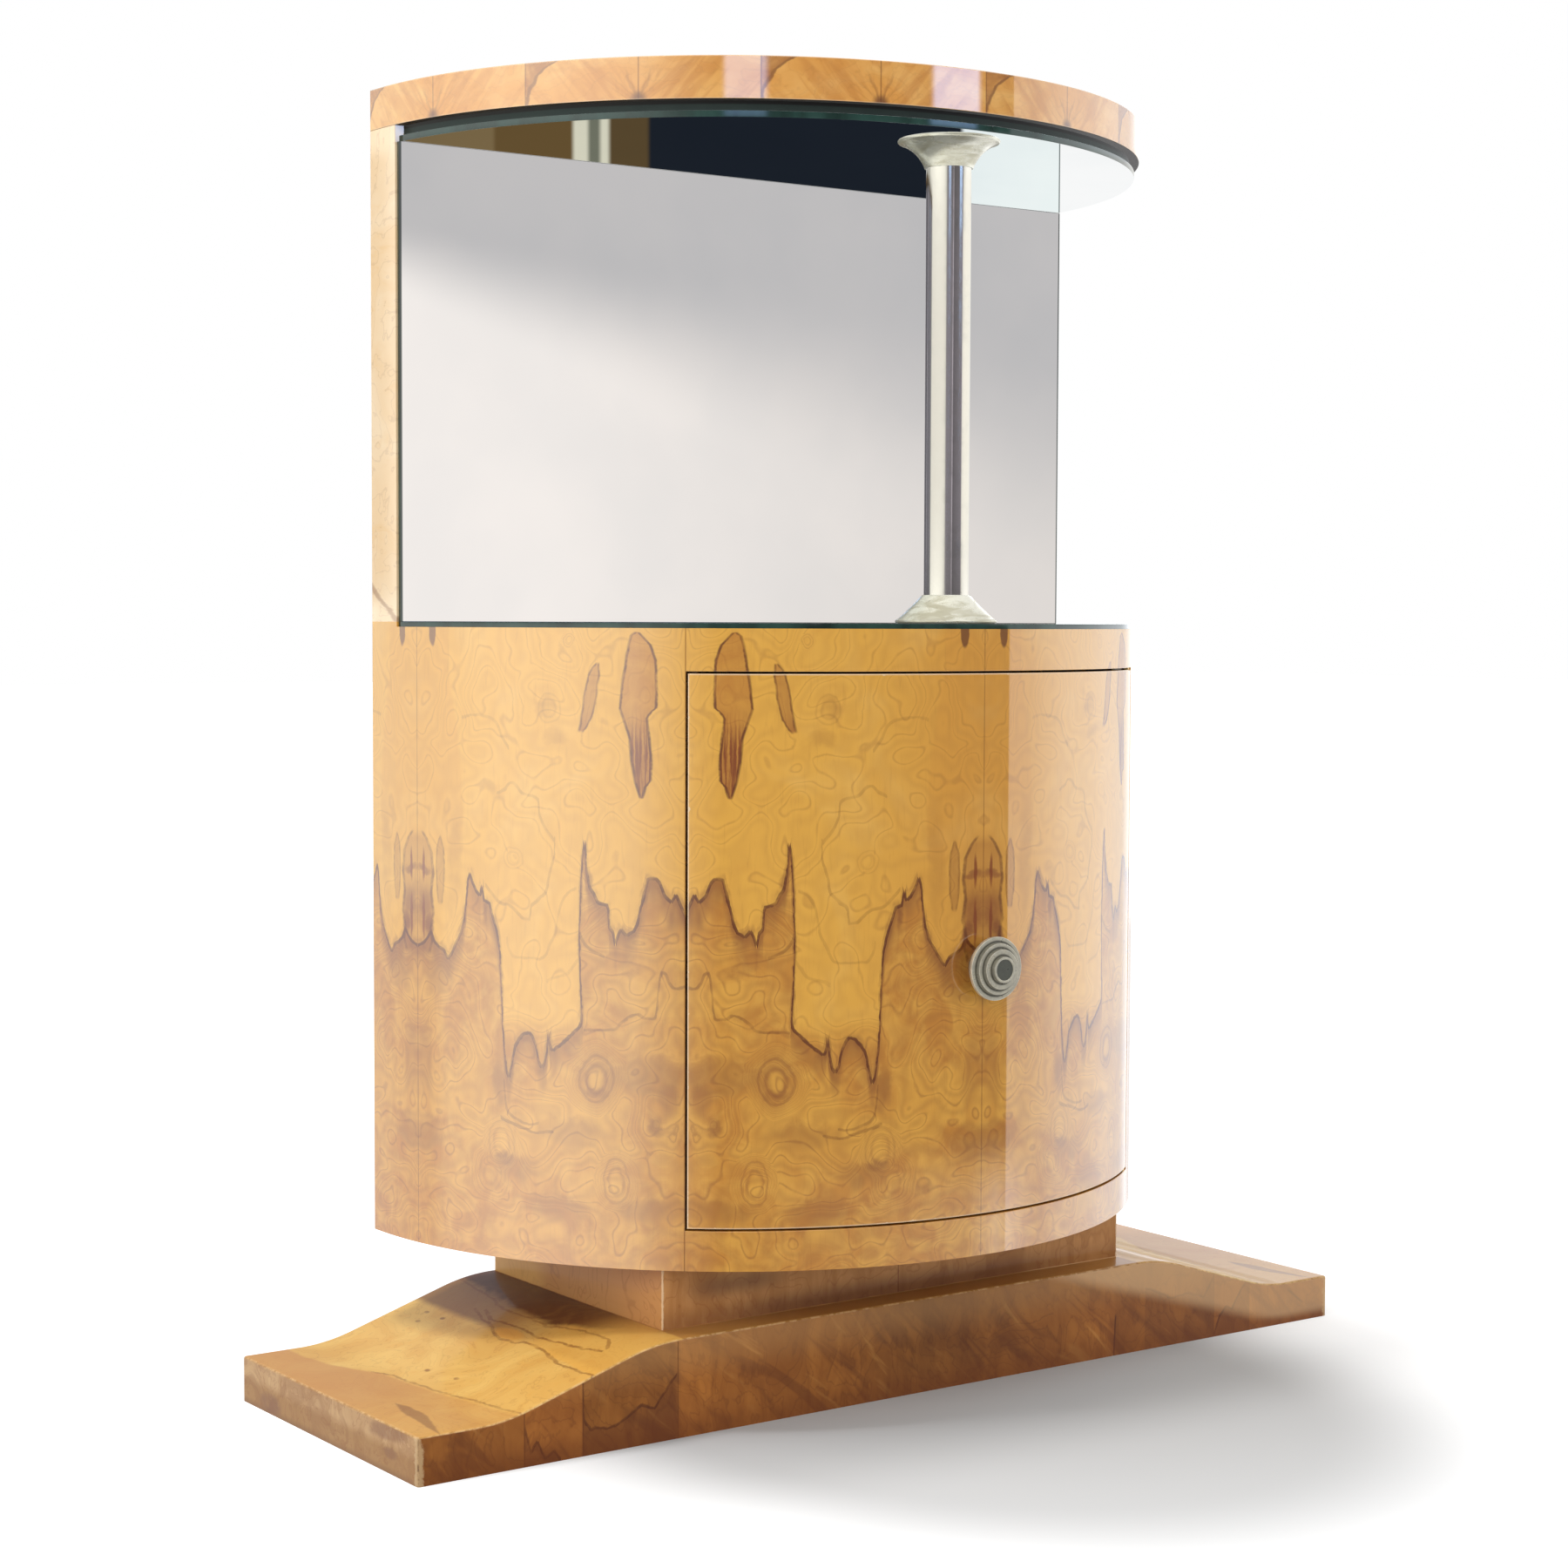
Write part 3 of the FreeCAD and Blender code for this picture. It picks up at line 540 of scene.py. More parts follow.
# The drum's figure within one leaf: degrees from the outer seam, and millimetres of height
INK_LINE = [
    (0, 495), (0.5, 503), (1.2, 515), (1.7, 507), (2.6, 513), (3.2, 525), (3.7, 529), (4.7, 528), (5.1, 516),
    (5.6, 505), (6.0, 490), (6.6, 479), (7.5, 474), (8.2, 480), (8.6, 476), (9.0, 464), (9.3, 478),
    (9.75, 481), (9.95, 503), (11.3, 506), (11.8, 514), (12.4, 520), (12.9, 538), (13.35, 568), (13.55, 540),
    (13.7, 392), (14.2, 386), (15.2, 378), (16.3, 370), (17.5, 362), (17.9, 364), (18.1, 381), (18.35, 362),
    (18.7, 348), (19.1, 344), (19.6, 350), (20.0, 366), (20.5, 374), (21.0, 378), (21.8, 376), (22.5, 370),
    (23.2, 362), (23.6, 345), (24.0, 332), (24.4, 338), (24.7, 356), (25.0, 375), (25.2, 430), (25.5, 458),
    (26.0, 475), (26.6, 488), (27.1, 500), (28.1, 503), (28.3, 518), (28.7, 507), (29.3, 511), (29.9, 519),
    (30.4, 528), (30.8, 520), (31.0, 500), (31.3, 485), (31.8, 470), (32.5, 461), (33.1, 454), (33.8, 445),
    (34.3, 442), (35.0, 450), (36.0, 453), (36.9, 458), (37.5, 468), (38.2, 462), (39.0, 456), (40.3, 452)]
# Fainter lines: the strength and the points
FAINT_LINES = (
    (0.5, [(0, 428), (1.2, 426), (1.9, 430), (2.9, 441), (3.3, 425), (3.6, 405), (4.1, 396), (5.0, 396),
           (6.2, 400), (6.9, 398), (8.2, 390), (9.0, 384), (10.5, 384), (13.6, 383)]),
    (0.4, [(10.4, 454), (11.5, 458), (12.5, 463), (13.2, 470), (13.6, 478)]),
    (0.32, [(17.2, 566), (17.35, 548), (17.8, 536), (18.1, 528), (18.5, 515), (19.5, 507), (20.7, 500),
            (20.9, 486), (21.8, 487), (22.6, 492), (23.8, 499), (25.5, 502), (26.8, 510), (27.8, 518)]),
    (0.22, [(14.2, 519), (15.5, 514), (16.5, 500), (17.0, 480), (18.0, 463), (18.8, 452), (20.5, 449),
            (23.0, 449), (23.9, 455), (24.4, 468)]),
    (0.28, [(17.3, 563), (18.7, 576), (19.5, 590), (19.7, 602), (21.8, 607), (23.7, 617), (24.7, 611),
            (25.9, 607)]),
    (0.2, [(13.7, 452), (14.5, 445), (15.5, 436), (17.0, 433), (18.4, 427)]),
    (0.25, [(24.0, 650), (25.0, 660), (26.3, 676), (28.0, 680), (30.0, 681), (31.7, 679)]),
    (0.5, [(17.5, 284), (20.0, 281), (21.5, 284), (23.5, 288), (25.4, 293)]),
    (0.4, [(19.5, 290), (21.0, 289), (23.0, 293), (24.3, 300), (24.7, 318), (24.9, 330)]))
# Knots: angle, height, the core's width and height in mm, the rings' reach and their strength
KNOTS = ((11.7, 338, 10, 12, 34, 0.75), (8.9, 240, 7, 11, 26, 0.6), (25.3, 268, 8, 11, 24, 0.4),
         (27.0, 237, 7, 9, 26, 0.3), (18.0, 688, 7, 8, 46, 0.3), (23.3, 546, 6, 6, 9, 0.25),
         (15.5, 753, 3, 4, 8, 0.4), (34.0, 330, 6, 14, 40, 0.12), (3.7, 294, 3, 4, 30, 0.2))
# Brown clouds: angle, height, half width in mm, half height in mm, strength
CLOUDS = (
    (4.5, 340, 42, 22, 0.5), (15.5, 285, 36, 15, 0.4), (4.0, 213, 45, 12, 0.45), (3.7, 294, 9, 9, 0.7),
    (11.7, 338, 26, 30, 0.4), (17.0, 212, 34, 13, 0.45), (22.8, 245, 26, 13, 0.4), (38.5, 268, 26, 20, 0.45),
    (25.5, 326, 9, 24, 0.55), (9.0, 449, 20, 8, 0.4), (1.5, 495, 12, 22, 0.45), (38.7, 490, 14, 26, 0.8),
    (24.8, 256, 12, 8, 0.6), (12.0, 322, 16, 7, 0.55), (2.0, 320, 12, 16, 0.45), (39.0, 340, 14, 40, 0.4),
    (36.5, 430, 22, 22, 0.45), (17.3, 662, 14, 8, 0.25), (18.5, 690, 12, 12, 0.3), (33.0, 545, 10, 60, 0.22),
    (27.4, 492, 3, 14, 0.6), (12.2, 528, 3, 9, 0.5), (38.8, 529, 12, 5, 0.8), (37.7, 474, 7, 11, 0.9))


def drum_veneer(name, door=False):
    """The drum's book-matched leaves: ink lines, teardrops, a tongue and knots, under lacquer."""
    sizes, paints = settings_of(bpy.context.scene)
    finish = Finish(name, **LACQUER)
    angle, z = finish.drum_places()
    leaf = sizes.leaf
    folded = (angle - (sizes.seam - leaf)).maths("PINGPONG", leaf)
    spot = (folded * ARC).vector(angle * 0.1, z)
    slow = spot.noise(0.011, 2.0)
    fine = spot.noise(0.07, 3.0, 0.6)
    mottle = spot.noise(0.03, 4.0, 0.6, 0.8)
    sway = z.curve([(380, 0.4), (420, 0.0), (470, -0.25), (520, -0.05), (570, 0.25)])
    t = folded + (fine - 0.5) * 0.42 + sway * folded.near(13.5, 4.0)
    up = z + (fine - 0.5) * 5.0 + (slow - 0.5) * 4.0

    # The brown burr under the ink line
    depth = t.curve(INK_LINE) - up
    brown = depth.step(-1.5, 1.5).either(up.drop(360, 400))

    # Height field of the growth lines, with a hill at each knot
    broad = spot.noise(0.016, 1.0, 0.4, 0.5)
    field = slow * 1.1 + broad * 0.6 + brown * spot.noise(0.011, 1.0, 0.4, 1.0) * 0.6
    cores, rings = [], []
    for place, height, wide, tall, reach, strength in KNOTS:
        across = (t - place) * ARC + (mottle - 0.5) * 9.0
        rise = up - height + (broad - 0.5) * 10.0
        far = across.oval(wide, rise, tall)
        cores.append(far.drop(0.2, 1.0, strength))
        rings.append(far.near(1.3, 0.7).either(far.near(3.4, 0.9)) * strength)
        field += across.oval(reach, rise, reach * 1.15).drop(0.0, 1.0, strength) * 0.9

    # Grounds: gold above the ink line, brown burr below it, deeper at the middle seam
    cloud = spot.noise(0.009, 3.0, 0.55, 0.6)
    upper = Coat(angle.near(-1.0, 22.0) * 0.6, paints.gold, paints.amber)
    upper.lay(cloud.step(0.45, 0.75) * 0.35, paints.honey)
    band = t - z.curve([(540, 32.0), (580, 31.3), (620, 31.6), (660, 32.2), (725, 33.9)])
    upper.lay(band.step(-0.2, 0.5) * 0.3 * up.step(530, 560), paints.amber)
    lower = Coat(mottle.step(0.35, 0.7), paints.brown, paints.tan)
    lower.lay(cloud.step(0.4, 0.7) * 0.6, paints.gold)
    base = Coat(brown, upper.shade, lower.shade)
    base.lay(mottle.step(0.5, 0.8) * 0.16, paints.amber)
    shadow = depth.step(0.0, 3.0) * depth.drop(3.0, 34.0)
    base.lay(shadow * mottle.step(0.25, 0.6, 0.3, 0.65), paints.burnt)
    swept = t + (cloud - 0.5) * 3.0 + (fine - 0.5) * 1.2
    lifted = up + (mottle - 0.5) * 26.0
    patchy = mottle.step(0.2, 0.55, 0.3, 0.85)
    for place, height, wide, tall, strength in CLOUDS:
        away = (swept - place).oval(wide / ARC, lifted - height, tall)
        base.lay(away.drop(0.0, 1.4, strength) * patchy, paints.burnt)
    base.lay(strongest(cores) * 0.8, paints.gold)
    base.lay(strongest(rings) * 0.55, paints.burnt)
    bands = ((field * 8.0).maths("FRACT") - 0.5).size() * 2.0
    base.lay(bands.step(0.2, 1.0) * (brown * 0.12 + 0.1), paints.burnt)
    growth = field.contours(8.0, 0.09) * (brown * 0.16 + 0.26) * fine.step(0.3, 0.6, 0.5, 1.0)
    base.lay(growth, paints.burnt)
    silk = (folded * 30.0).vector(0.0, z * 0.35).noise(0.08, 3.0, 0.6, 0.8)
    base.lay(silk.step(0.5, 0.85) * 0.16, paints.burnt)

    # Teardrop beside the outer seam, with its two-pointed dark tail
    left = t - up.curve([(604, 5.5), (616, 5.1), (621, 4.4), (635, 4.3), (660, 4.6), (680, 4.9), (684, 4.6),
                         (690, 3.8), (705, 3.6), (735, 3.8), (750, 4.5), (762, 6.0)])
    right = t - up.curve([(604, 5.7), (620, 6.4), (640, 6.9), (660, 7.1), (672, 7.6), (690, 8.4),
                          (710, 8.1), (740, 7.5), (758, 6.9), (762, 6.3)])
    shown = up.step(603, 605) * up.drop(761, 763)
    inside = left.step(-0.1, 0.1) * right.step(0.1, -0.1) * shown
    rim = left.size().both(right.size()).drop(0.06, 0.3) * shown
    tail = up.step(695, 650)
    streaks = (t * 60.0).vector(0.0, z * 0.25).noise(0.06, 3.0, 0.6)
    base.lay(inside * mottle.step(0.3, 0.7, 0.4, 0.65), paint(172, 100, 34))
    base.lay(inside * tail * streaks.step(0.4, 0.6, 0.25, 0.9), paint(126, 56, 24))
    hook = up.curve([(666, 13.9), (680, 13.1), (695, 12.6), (710, 12.3), (722, 12.0), (733, 11.5)])
    wide = up.curve([(666, 0.25), (680, 0.7), (700, 0.9), (722, 0.75), (733, 0.15)])
    away = (t - hook).size() - wide
    shown = up.step(665, 669) * up.drop(731, 734)
    base.lay(away.drop(-0.1, 0.1) * shown * (0.45 + tail * 0.4), paint(150, 80, 34))
    rim = rim.either(away.near(0.0, 0.26, 0.04) * shown * 0.8)
    fang = t.near(37.1, 1.1) * up.step(738, 762)
    base.lay(fang.step(0.25, 0.5) * 0.8, paint(100, 48, 26))

    # Dark lobes at the middle seam, between ragged upright lines
    spine_at = up.curve([(445, 37.9), (458, 37.3), (470, 37.6), (485, 37.0), (505, 37.5), (525, 37.1),
                         (545, 37.4), (558, 38.4), (566, 39.4)])
    lobe = (t - spine_at).step(0.0, 0.3) * up.step(440, 452) * up.step(567, 556)
    blots = strongest((t - 39.0).oval(1 / 3.6, up - at, tall).drop(0.2, 1.6)
                      for at, tall in ((532, 16.0), (482, 22.0)))
    base.lay(lobe * (blots * 0.6 + 0.3), paint(132, 60, 20))
    spine = (t - spine_at).near(0.0, 0.42, 0.08) * up.step(442, 450) * up.step(567, 562)
    loop = (t - 35.7).size() - up.curve([(494, 0.25), (508, 0.6), (530, 0.75), (550, 0.6), (562, 0.05)])
    shown = up.step(493, 497)
    base.lay(loop.step(0.0, -0.2) * shown * up.step(563, 558) * 0.35, paints.burnt)
    loop = loop.near(0.0, 0.24, 0.04) * shown * up.step(564, 560)

    halo = stroke(t, up, INK_LINE, 9.0, 0.3)
    base.lay(halo * mottle.step(0.35, 0.7) * 0.5, paints.burnt)
    lines = [stroke(t, up, points, 1.9, 0.13, True) * strength for strength, points in FAINT_LINES]
    lines += [stroke(t, up, INK_LINE, 2.2, 0.13), rim, loop * 0.6, spine * 0.8]
    base.lay(strongest(lines) * fine.step(0.3, 0.6, 0.5, 1.0) * 0.88, paints.ink)
    base.lay((leaf - folded).both(folded).drop(0.03, 0.14) * 0.4, paints.ink)
    if door:
        edge = ((DOOR_EDGE - angle.size()) * ARC).both(z - DOOR_LOW).both(DOOR_HIGH - z)
        chips = (angle * ARC).vector(0.0, z).noise(0.09, 4.0, 0.7)
        worn = edge.drop(0.8, 2.0) * 0.6 + (edge - chips.step(0.55, 0.8, 0.0, 5.0)).drop(0.0, 0.8)
        base.lay(worn.both(1.0) * 0.75, paints.worn)
    finish.set("Base Color", base)
    finish.bump((folded * 75.0).vector(0.0, z).noise(0.25, 2.0), sizes.pore, 0.25)


def slab_veneer():
    """The slab's edge: short mirrored leaves, a fan of streaks at every second seam."""
    sizes, paints = settings_of(bpy.context.scene)
    finish = Finish("slab_edge", **LACQUER)
    angle, z = finish.drum_places()
    leaf = sizes.slab_leaf
    folded = (angle + 77.4).maths("PINGPONG", leaf)
    across = folded * ARC
    spot = across.vector(angle * 0.3, z)
    fine = spot.noise(0.06, 3.0, 0.6)
    mottle = spot.noise(0.03, 3.0, 0.6, 0.8)
    cloud = (angle * ARC).vector(0.0, z * 2.0).noise(0.012, 3.0, 0.6, 0.5)
    up = z - SLAB_LOW
    base = Coat(cloud.step(0.3, 0.7), paint(240, 184, 104), paint(226, 158, 72))
    base.lay(mottle.step(0.45, 0.75) * 0.4, paints.amber)
    flame = (across - up * 0.8).vector(angle * 0.2, up * 0.3).noise(0.07, 2.0, 0.5, 0.6)
    base.lay(flame.step(0.42, 0.7) * 0.5, paint(196, 124, 50))
    # Streaks fan up and outwards from the foot of the seams at -46.8 and -16.2 degrees
    rays = (across.maths("ARCTAN2", up + 6.0) * 42.0).vector(up * 0.12).noise(0.14, 3.0, 0.65)
    reach = across.oval(1.0, up, 1.0) ** 0.5
    base.lay(rays.step(0.48, 0.66) * reach.step(95, 12, 0.0, 0.3), paint(176, 108, 48))
    base.lay(reach.step(11, 3) * 0.75, paint(104, 56, 32))
    for slope, strength in ((0.45, 0.25), (1.15, 0.12)):
        streak = (across - up * slope + (fine - 0.5) * 12.0).near(0.0, 2.4, 0.5)
        base.lay(streak * strength * up.step(34, 20), paint(112, 60, 34))
    # One dark streak leans right from each of the other seams
    right = (angle + 62.1).maths("FLOORED_MODULO", 2 * leaf) * ARC
    line = right + (fine - 0.5) * 9.0 - up.curve([(0, 1), (8, 2), (18, 7), (27, 12), (34, 22), (40, 34)])
    patch = line.step(0.0, -3.0) * (right > 0.0) * up.step(2, 14) * mottle.step(0.25, 0.6, 0.25, 1.0)
    base.lay(patch * 0.7, paint(150, 84, 40))
    base.lay(line.near(0.0, 3.2, 0.8) * 0.7, paint(112, 60, 34))
    base.lay((cloud + mottle * 0.25).contours(11.0, 0.14) * 0.1, paints.burnt)
    base.lay((leaf - folded).both(folded).drop(0.03, 0.16) * 0.5, paints.ink)
    base.lay(up.both(SLAB_HIGH - z).drop(0.5, 1.6) * 0.35, paints.worn)
    # Painted shade: the band's underside, in the recess under the slab, is coloured near black and has no
    # coat
    base.lay(up.step(0.45, 0.2), paint(34, 24, 18))
    finish.set("Base Color", base)
    finish.set("Coat Weight", up.step(0.2, 0.45))


# The plinth's figure: strength and points. On its ends' tops: (depth y, |x|); on its front: (x, height)
TOP_LINES = (
    (0.55, [(-118, 467), (-60, 474), (0, 484), (50, 489), (85, 491), (112, 498)]),
    (0.75, [(-118, 390), (-60, 391), (-30, 385), (0, 379), (22, 381), (30, 386), (55, 389), (75, 384),
            (88, 377), (120, 372), (150, 362)]),
    (0.75, [(-80, 356), (-60, 359), (-30, 364), (0, 368), (20, 369), (30, 367), (60, 365), (90, 367),
            (105, 370), (135, 358)]),
    (0.6, [(-80, 350), (-62, 337), (-30, 338), (0, 342), (30, 351), (60, 348), (90, 348), (115, 350),
           (150, 342), (240, 330)]))
FRONT_LINES = (
    (0.9, [(-463, 38), (-456, 12), (-449, 22), (-441, 4), (-432, 9), (-424, 1)]),
    (0.85, [(-401, 74), (-399, 34), (-392, 24), (-370, 22), (-352, 28), (-336, 39), (-322, 34), (-306, 52),
            (-296, 62)]),
    (0.6, [(300, 66), (320, 60), (340, 50), (360, 53), (385, 46), (399, 64)]),
    (0.85, [(401, 3), (409, 22), (418, 31), (427, 28), (441, 46), (454, 60)]))
# Nail holes on the left end's top: -x, y
PINS = ((392, 196), (408, 185), (392, 163), (463, 65), (458, 17))
# Smears on the ends: y and z of the middle, half width, half height, strength and slope
SMEARS = ((180, 10, 26, 12, 0.75, 0.0), (-60, 33, 46, 9, 0.6, 0.08), (-66, 19, 16, 6, 0.6, 0.0))


def plinth_veneer():
    """The plinth and riser: amber burr with plum streaks, worn pale at the corners."""
    sizes, paints = settings_of(bpy.context.scene)
    finish = Finish("plinth_veneer", Roughness=0.45, Specular_IOR_Level=0.2, Coat_Weight=0.3,
                    Coat_Roughness=0.1)
    x, y, z = finish.places()
    side, ahead, top = finish.start.coordinates(1)
    arris = ahead.size().both(top.size().either(side.size())).step(0.25, 0.5)
    arris = arris.either(side.size().both(top.size()).step(0.25, 0.5) * x.size().step(571, 572))
    front = (ahead * -1).step(0.5, 0.9)
    spot = x.vector(y, z)
    fine = spot.noise(0.06, 3.0, 0.6)
    cloud = spot.noise(0.012, 3.0, 0.6, 0.8)
    mottle = spot.noise(0.035, 4.0, 0.6, 1.0)
    wave = (fine - 0.5) * 7.0

    # Top of the ends
    out = x.size() + wave * 0.6
    upper = Coat(cloud.step(0.3, 0.7), paint(222, 182, 102), paint(208, 160, 82))
    upper.lay(mottle.step(0.5, 0.8) * 0.3, paints.amber)
    upper.lay((cloud + mottle * 0.2).contours(13.0, 0.12) * 0.18, paints.burnt)
    line = y.curve([(-118, 467), (0, 484), (100, 492), (160, 515), (200, 522)])
    upper.lay((out - line).step(0.0, 6.0) * y.step(-60, 60, 0.4, 0.7), paint(186, 130, 74))
    line = y.curve([(-118, 391), (-30, 386), (20, 383)])
    upper.lay((line - out).step(0.0, 3.0) * y.step(40, -10, 0.0, 0.5), paints.tan)
    # Painted shade under the drum: the top darkens towards the riser and towards the back, broken by mottle
    upper.lay((386 - out).step(0.0, 12.0) * y.step(0, 130, 0.15, 0.8), paint(116, 72, 44))
    line = y.curve([(-80, 302), (-50, 318), (-30, 332), (0, 341), (30, 351), (90, 349), (241, 330)])
    shade_under_drum = (line - out + (mottle - 0.5) * 16.0).step(0.0, 12.0) * y.step(-70, 20)
    upper.lay(shade_under_drum * mottle.step(0.2, 0.6, 0.75, 0.95), paint(88, 46, 28))
    lens = y.curve([(-118, 1), (-90, 5), (-45, 9), (-20, 6), (0, 0)])
    lens = (lens - (out - y.curve([(-118, 551), (-60, 538), (0, 533)])).size()).step(-1.0, 2.5)
    upper.lay(lens * 0.5 * (y < 0.0), paints.plum)
    upper.lay((out - 378).oval(10.0, y - 55, 30.0).drop(0.3, 1.0, 0.5), paints.amber)
    bent = out + (mottle - 0.5) * 9.0
    marks = [stroke(y, bent, points, 2.2, 1.2) * strength for strength, points in TOP_LINES]
    marks += [(x + place).oval(1.0, y - depth, 1 / 0.6).drop(1.0, 9.0, 0.8) for place, depth in PINS]
    # Painted shade at the riser's foot: the crown's strip in front of it is darker
    upper.lay(out.step(292, 288) * 0.55, paints.burnt)
    upper.lay(strongest(marks) * fine.step(0.3, 0.6, 0.3, 0.85), paint(112, 58, 28))

    # Front: leaves of different tones, with standing streaks; painted shade under the drum darkens the middle
    tone = x.curve([(-573, 0.95), (-464, 1.0), (-462, 1.2), (-401, 1.1), (-399, 0.82), (-297, 0.85),
                    (-294, 1.12), (-200, 1.0), (-90, 0.85), (0, 0.62), (80, 0.78), (200, 1.0), (256, 1.2),
                    (259, 1.05), (399, 1.0), (402, 1.2), (573, 1.4)])
    grain = x.vector(0.0, z * 0.3).noise(0.03, 4.0, 0.6, 1.2)
    swirl = (x * 0.7).vector(y, z * 0.8).noise(0.014, 2.0, 0.5, 1.0)
    # Painted shade: the front's ground is darker than the top's, standing for the same veneer lit less
    face = Coat(grain.step(0.3, 0.75), paint(166, 104, 42), paint(136, 80, 30))
    face.lay(swirl.step(0.35, 0.65) * 0.4, paint(112, 60, 24))
    face.lay((swirl + grain * 0.25).contours(12.0, 0.14) * 0.3, paint(90, 46, 20))
    flames = (x + z * 0.9).vector(y, z * 0.4).noise(0.018, 3.0, 0.6, 1.6)
    face.lay(flames.step(0.5, 0.66) * 0.5, paint(100, 52, 22))
    face.lay(flames.step(0.42, 0.3) * 0.4, paint(196, 138, 70))
    face.shade = tone.scaled(face.shade)
    # Painted reflection: a pale veil over the upper part of the front
    face.lay(z.step(46, 90) * 0.4, paint(182, 138, 88))
    rise = z + wave * 0.7 + (mottle - 0.5) * 8.0
    marks = []
    for strength, points in FRONT_LINES:
        marks.append(stroke(x, rise, points, 1.8, 0.8) * fine.step(0.3, 0.6, 0.4, 1.0) * strength)
        face.lay(fill_under(x, rise, points) * strength * 0.5, paint(96, 50, 26))
    marks.append((x - 257 - (z - 20) * 0.05).near(0.0, 1.4, 0.6) * z.step(46, 40) * 0.9)
    scratch = (x - 525 + (z - 28) * 1.3).near(0.0, 3.0, 1.0)
    marks.append(scratch * z.near(28, 11).step(0.0, 0.3) * 0.7)
    marks += [x.near(place, 1.1, 0.3, 0.6) for place in (-463, -400, -295, 400)]
    face.lay(strongest(marks) * 0.8, paint(72, 32, 14))
    # Painted shade: the front darkens towards the floor
    face.lay(z.step(30, 4, 0.0, 0.5), paint(104, 50, 14))
    # Painted reflection: a pale patch with a slanting edge near the front's right end
    face.lay((x - 515 + z * 3.6).step(-30, 30) * z.step(2, 14) * 0.45, paint(226, 190, 146))

    # Riser: brown, with painted shade and reflection darkening its foot, most at the middle, and darker at
    # the left of its front
    board = Coat(grain.step(0.3, 0.7), paint(196, 142, 84), paint(170, 116, 62))
    board.lay((swirl + grain * 0.2).contours(10.0, 0.14) * 0.3, paints.burnt)
    board.lay((1 - front) * y.step(120, 160) * 0.4, paints.honey)
    # Painted shade and reflection: the front darkens at its foot, most at the middle
    board.lay(z.step(122, 100) * x.size().step(110, 270, 0.72, 0.3) * front, paint(96, 54, 34))
    board.lay(x.near(-205, 75, 20, 0.6) * z.near(130, 18) * front, paint(104, 70, 48))
    board.lay(x.near(-5, 1.0, 0.3, 0.5) * front, paints.ink)

    # Ends
    cheek = Coat(cloud.step(0.3, 0.7), paint(204, 166, 118), paint(184, 142, 94))
    # Painted reflection: the end's pale ground above about 25 mm stands for a reflected pale band and is
    # darkened below it; it is darker still at the foot
    cheek.lay(z.step(31, 19) * 0.75, paint(158, 112, 54))
    cheek.lay(z.step(8, 0) * 0.5, paint(110, 68, 34))
    smears = [(y - across).oval(wide, z - height + y * slope, tall).drop(0.2, 1.2, strength)
              for across, height, wide, tall, strength, slope in SMEARS]
    cheek.lay(strongest(smears) * mottle.step(0.25, 0.6), paint(128, 84, 58))
    patchy = spot.noise(0.022, 4.0, 0.65, 1.5)
    cheek.lay(patchy.step(0.45, 0.62) * 0.45, paint(146, 98, 52))
    cheek.lay((cloud + patchy * 0.4).contours(9.0, 0.12) * 0.3, paints.burnt)
    base = Coat(z > 95.8, face.shade, board.shade)
    base.lay(side.size().step(0.6, 0.9) * (z < 45.9), cheek.shade)
    base.lay(top.step(0.3, 0.6), upper.shade)

    # Wear: pale arrises and corners
    corner = (PLINTH_X - x.size()) + (y - PLINTH_FRONT)
    chips = spot.noise(0.11, 4.0, 0.7)
    worn = arris * chips.step(0.4, 0.6, 0.1, 0.8) + (corner - chips * 13.0).drop(-3.0, 0.0)
    base.lay(worn.both(1.0) * 0.6 * (z < 95.6), paint(206, 176, 132))
    grime = arris * chips.step(0.6, 0.42) * z.step(30, 10, 0.3, 0.8)
    base.lay(grime * (z < 95.6), paint(84, 46, 24))
    mitre = (CROWN_X - x.size()).size() + (y - RISER_FRONT).size()
    base.lay((mitre - chips * 3.6 + 0.9).drop(0.0, 1.0) * (z > 95.8) * 0.6, paints.worn)
    finish.set("Base Color", base)
    finish.bump((x * 2.0).vector(y * 2.0, z * 2.0).noise(0.25, 2.0), sizes.pore, 0.25)


def stile_veneer():
    """The stiles' sides: quiet honey veneer with level figure."""
    paints = bpy.context.scene.cabinet_colours
    finish = Finish("stile_veneer", **LACQUER)
    x, y, z = finish.places()
    cloud = (x * 0.2).vector(y, z).noise(0.01, 3.0, 0.6, 0.5)
    grain = (y * 0.4).vector(0.0, z).noise(0.03, 4.0, 0.6, 1.0)
    base = Coat(cloud.step(0.3, 0.7), paint(252, 226, 188), paint(246, 212, 164))
    base.lay(grain.step(0.5, 0.75) * 0.3, paints.gold)
    base.lay((cloud + grain * 0.3).contours(9.0, 0.1) * 0.18, paints.burnt)
    line = (z - 775 - (y - 190) * 0.7 - (grain - 0.5) * 16.0).near(0.0, 5.5, 1.5)
    base.lay(line * 0.55 * (z > COUNTER), paints.burnt)
    base.lay(z.near(SLAB_LOW, 0.8) * 0.7, paints.tan)
    finish.set("Base Color", base)


# Plain woods, glass and metals

def wood(name, tone, gloss):
    """Straight-grained wood: rings drawn out along X, with darker pores."""
    finish = Finish(name, Roughness=gloss)
    x, y, z = finish.places()
    spot = (x * 0.02).vector(y, z)
    pores = spot.noise(0.5, 2.0, 0.6)
    base = Coat(spot.noise(0.06, 5.0, 0.6, 0.8).step(0.35, 0.7), tone, darker(tone, 0.62))
    base.lay(pores.step(0.55, 0.75) * 0.35, darker(tone, 0.4))
    finish.set("Base Color", base)
    finish.bump(pores, 0.1, 0.4)


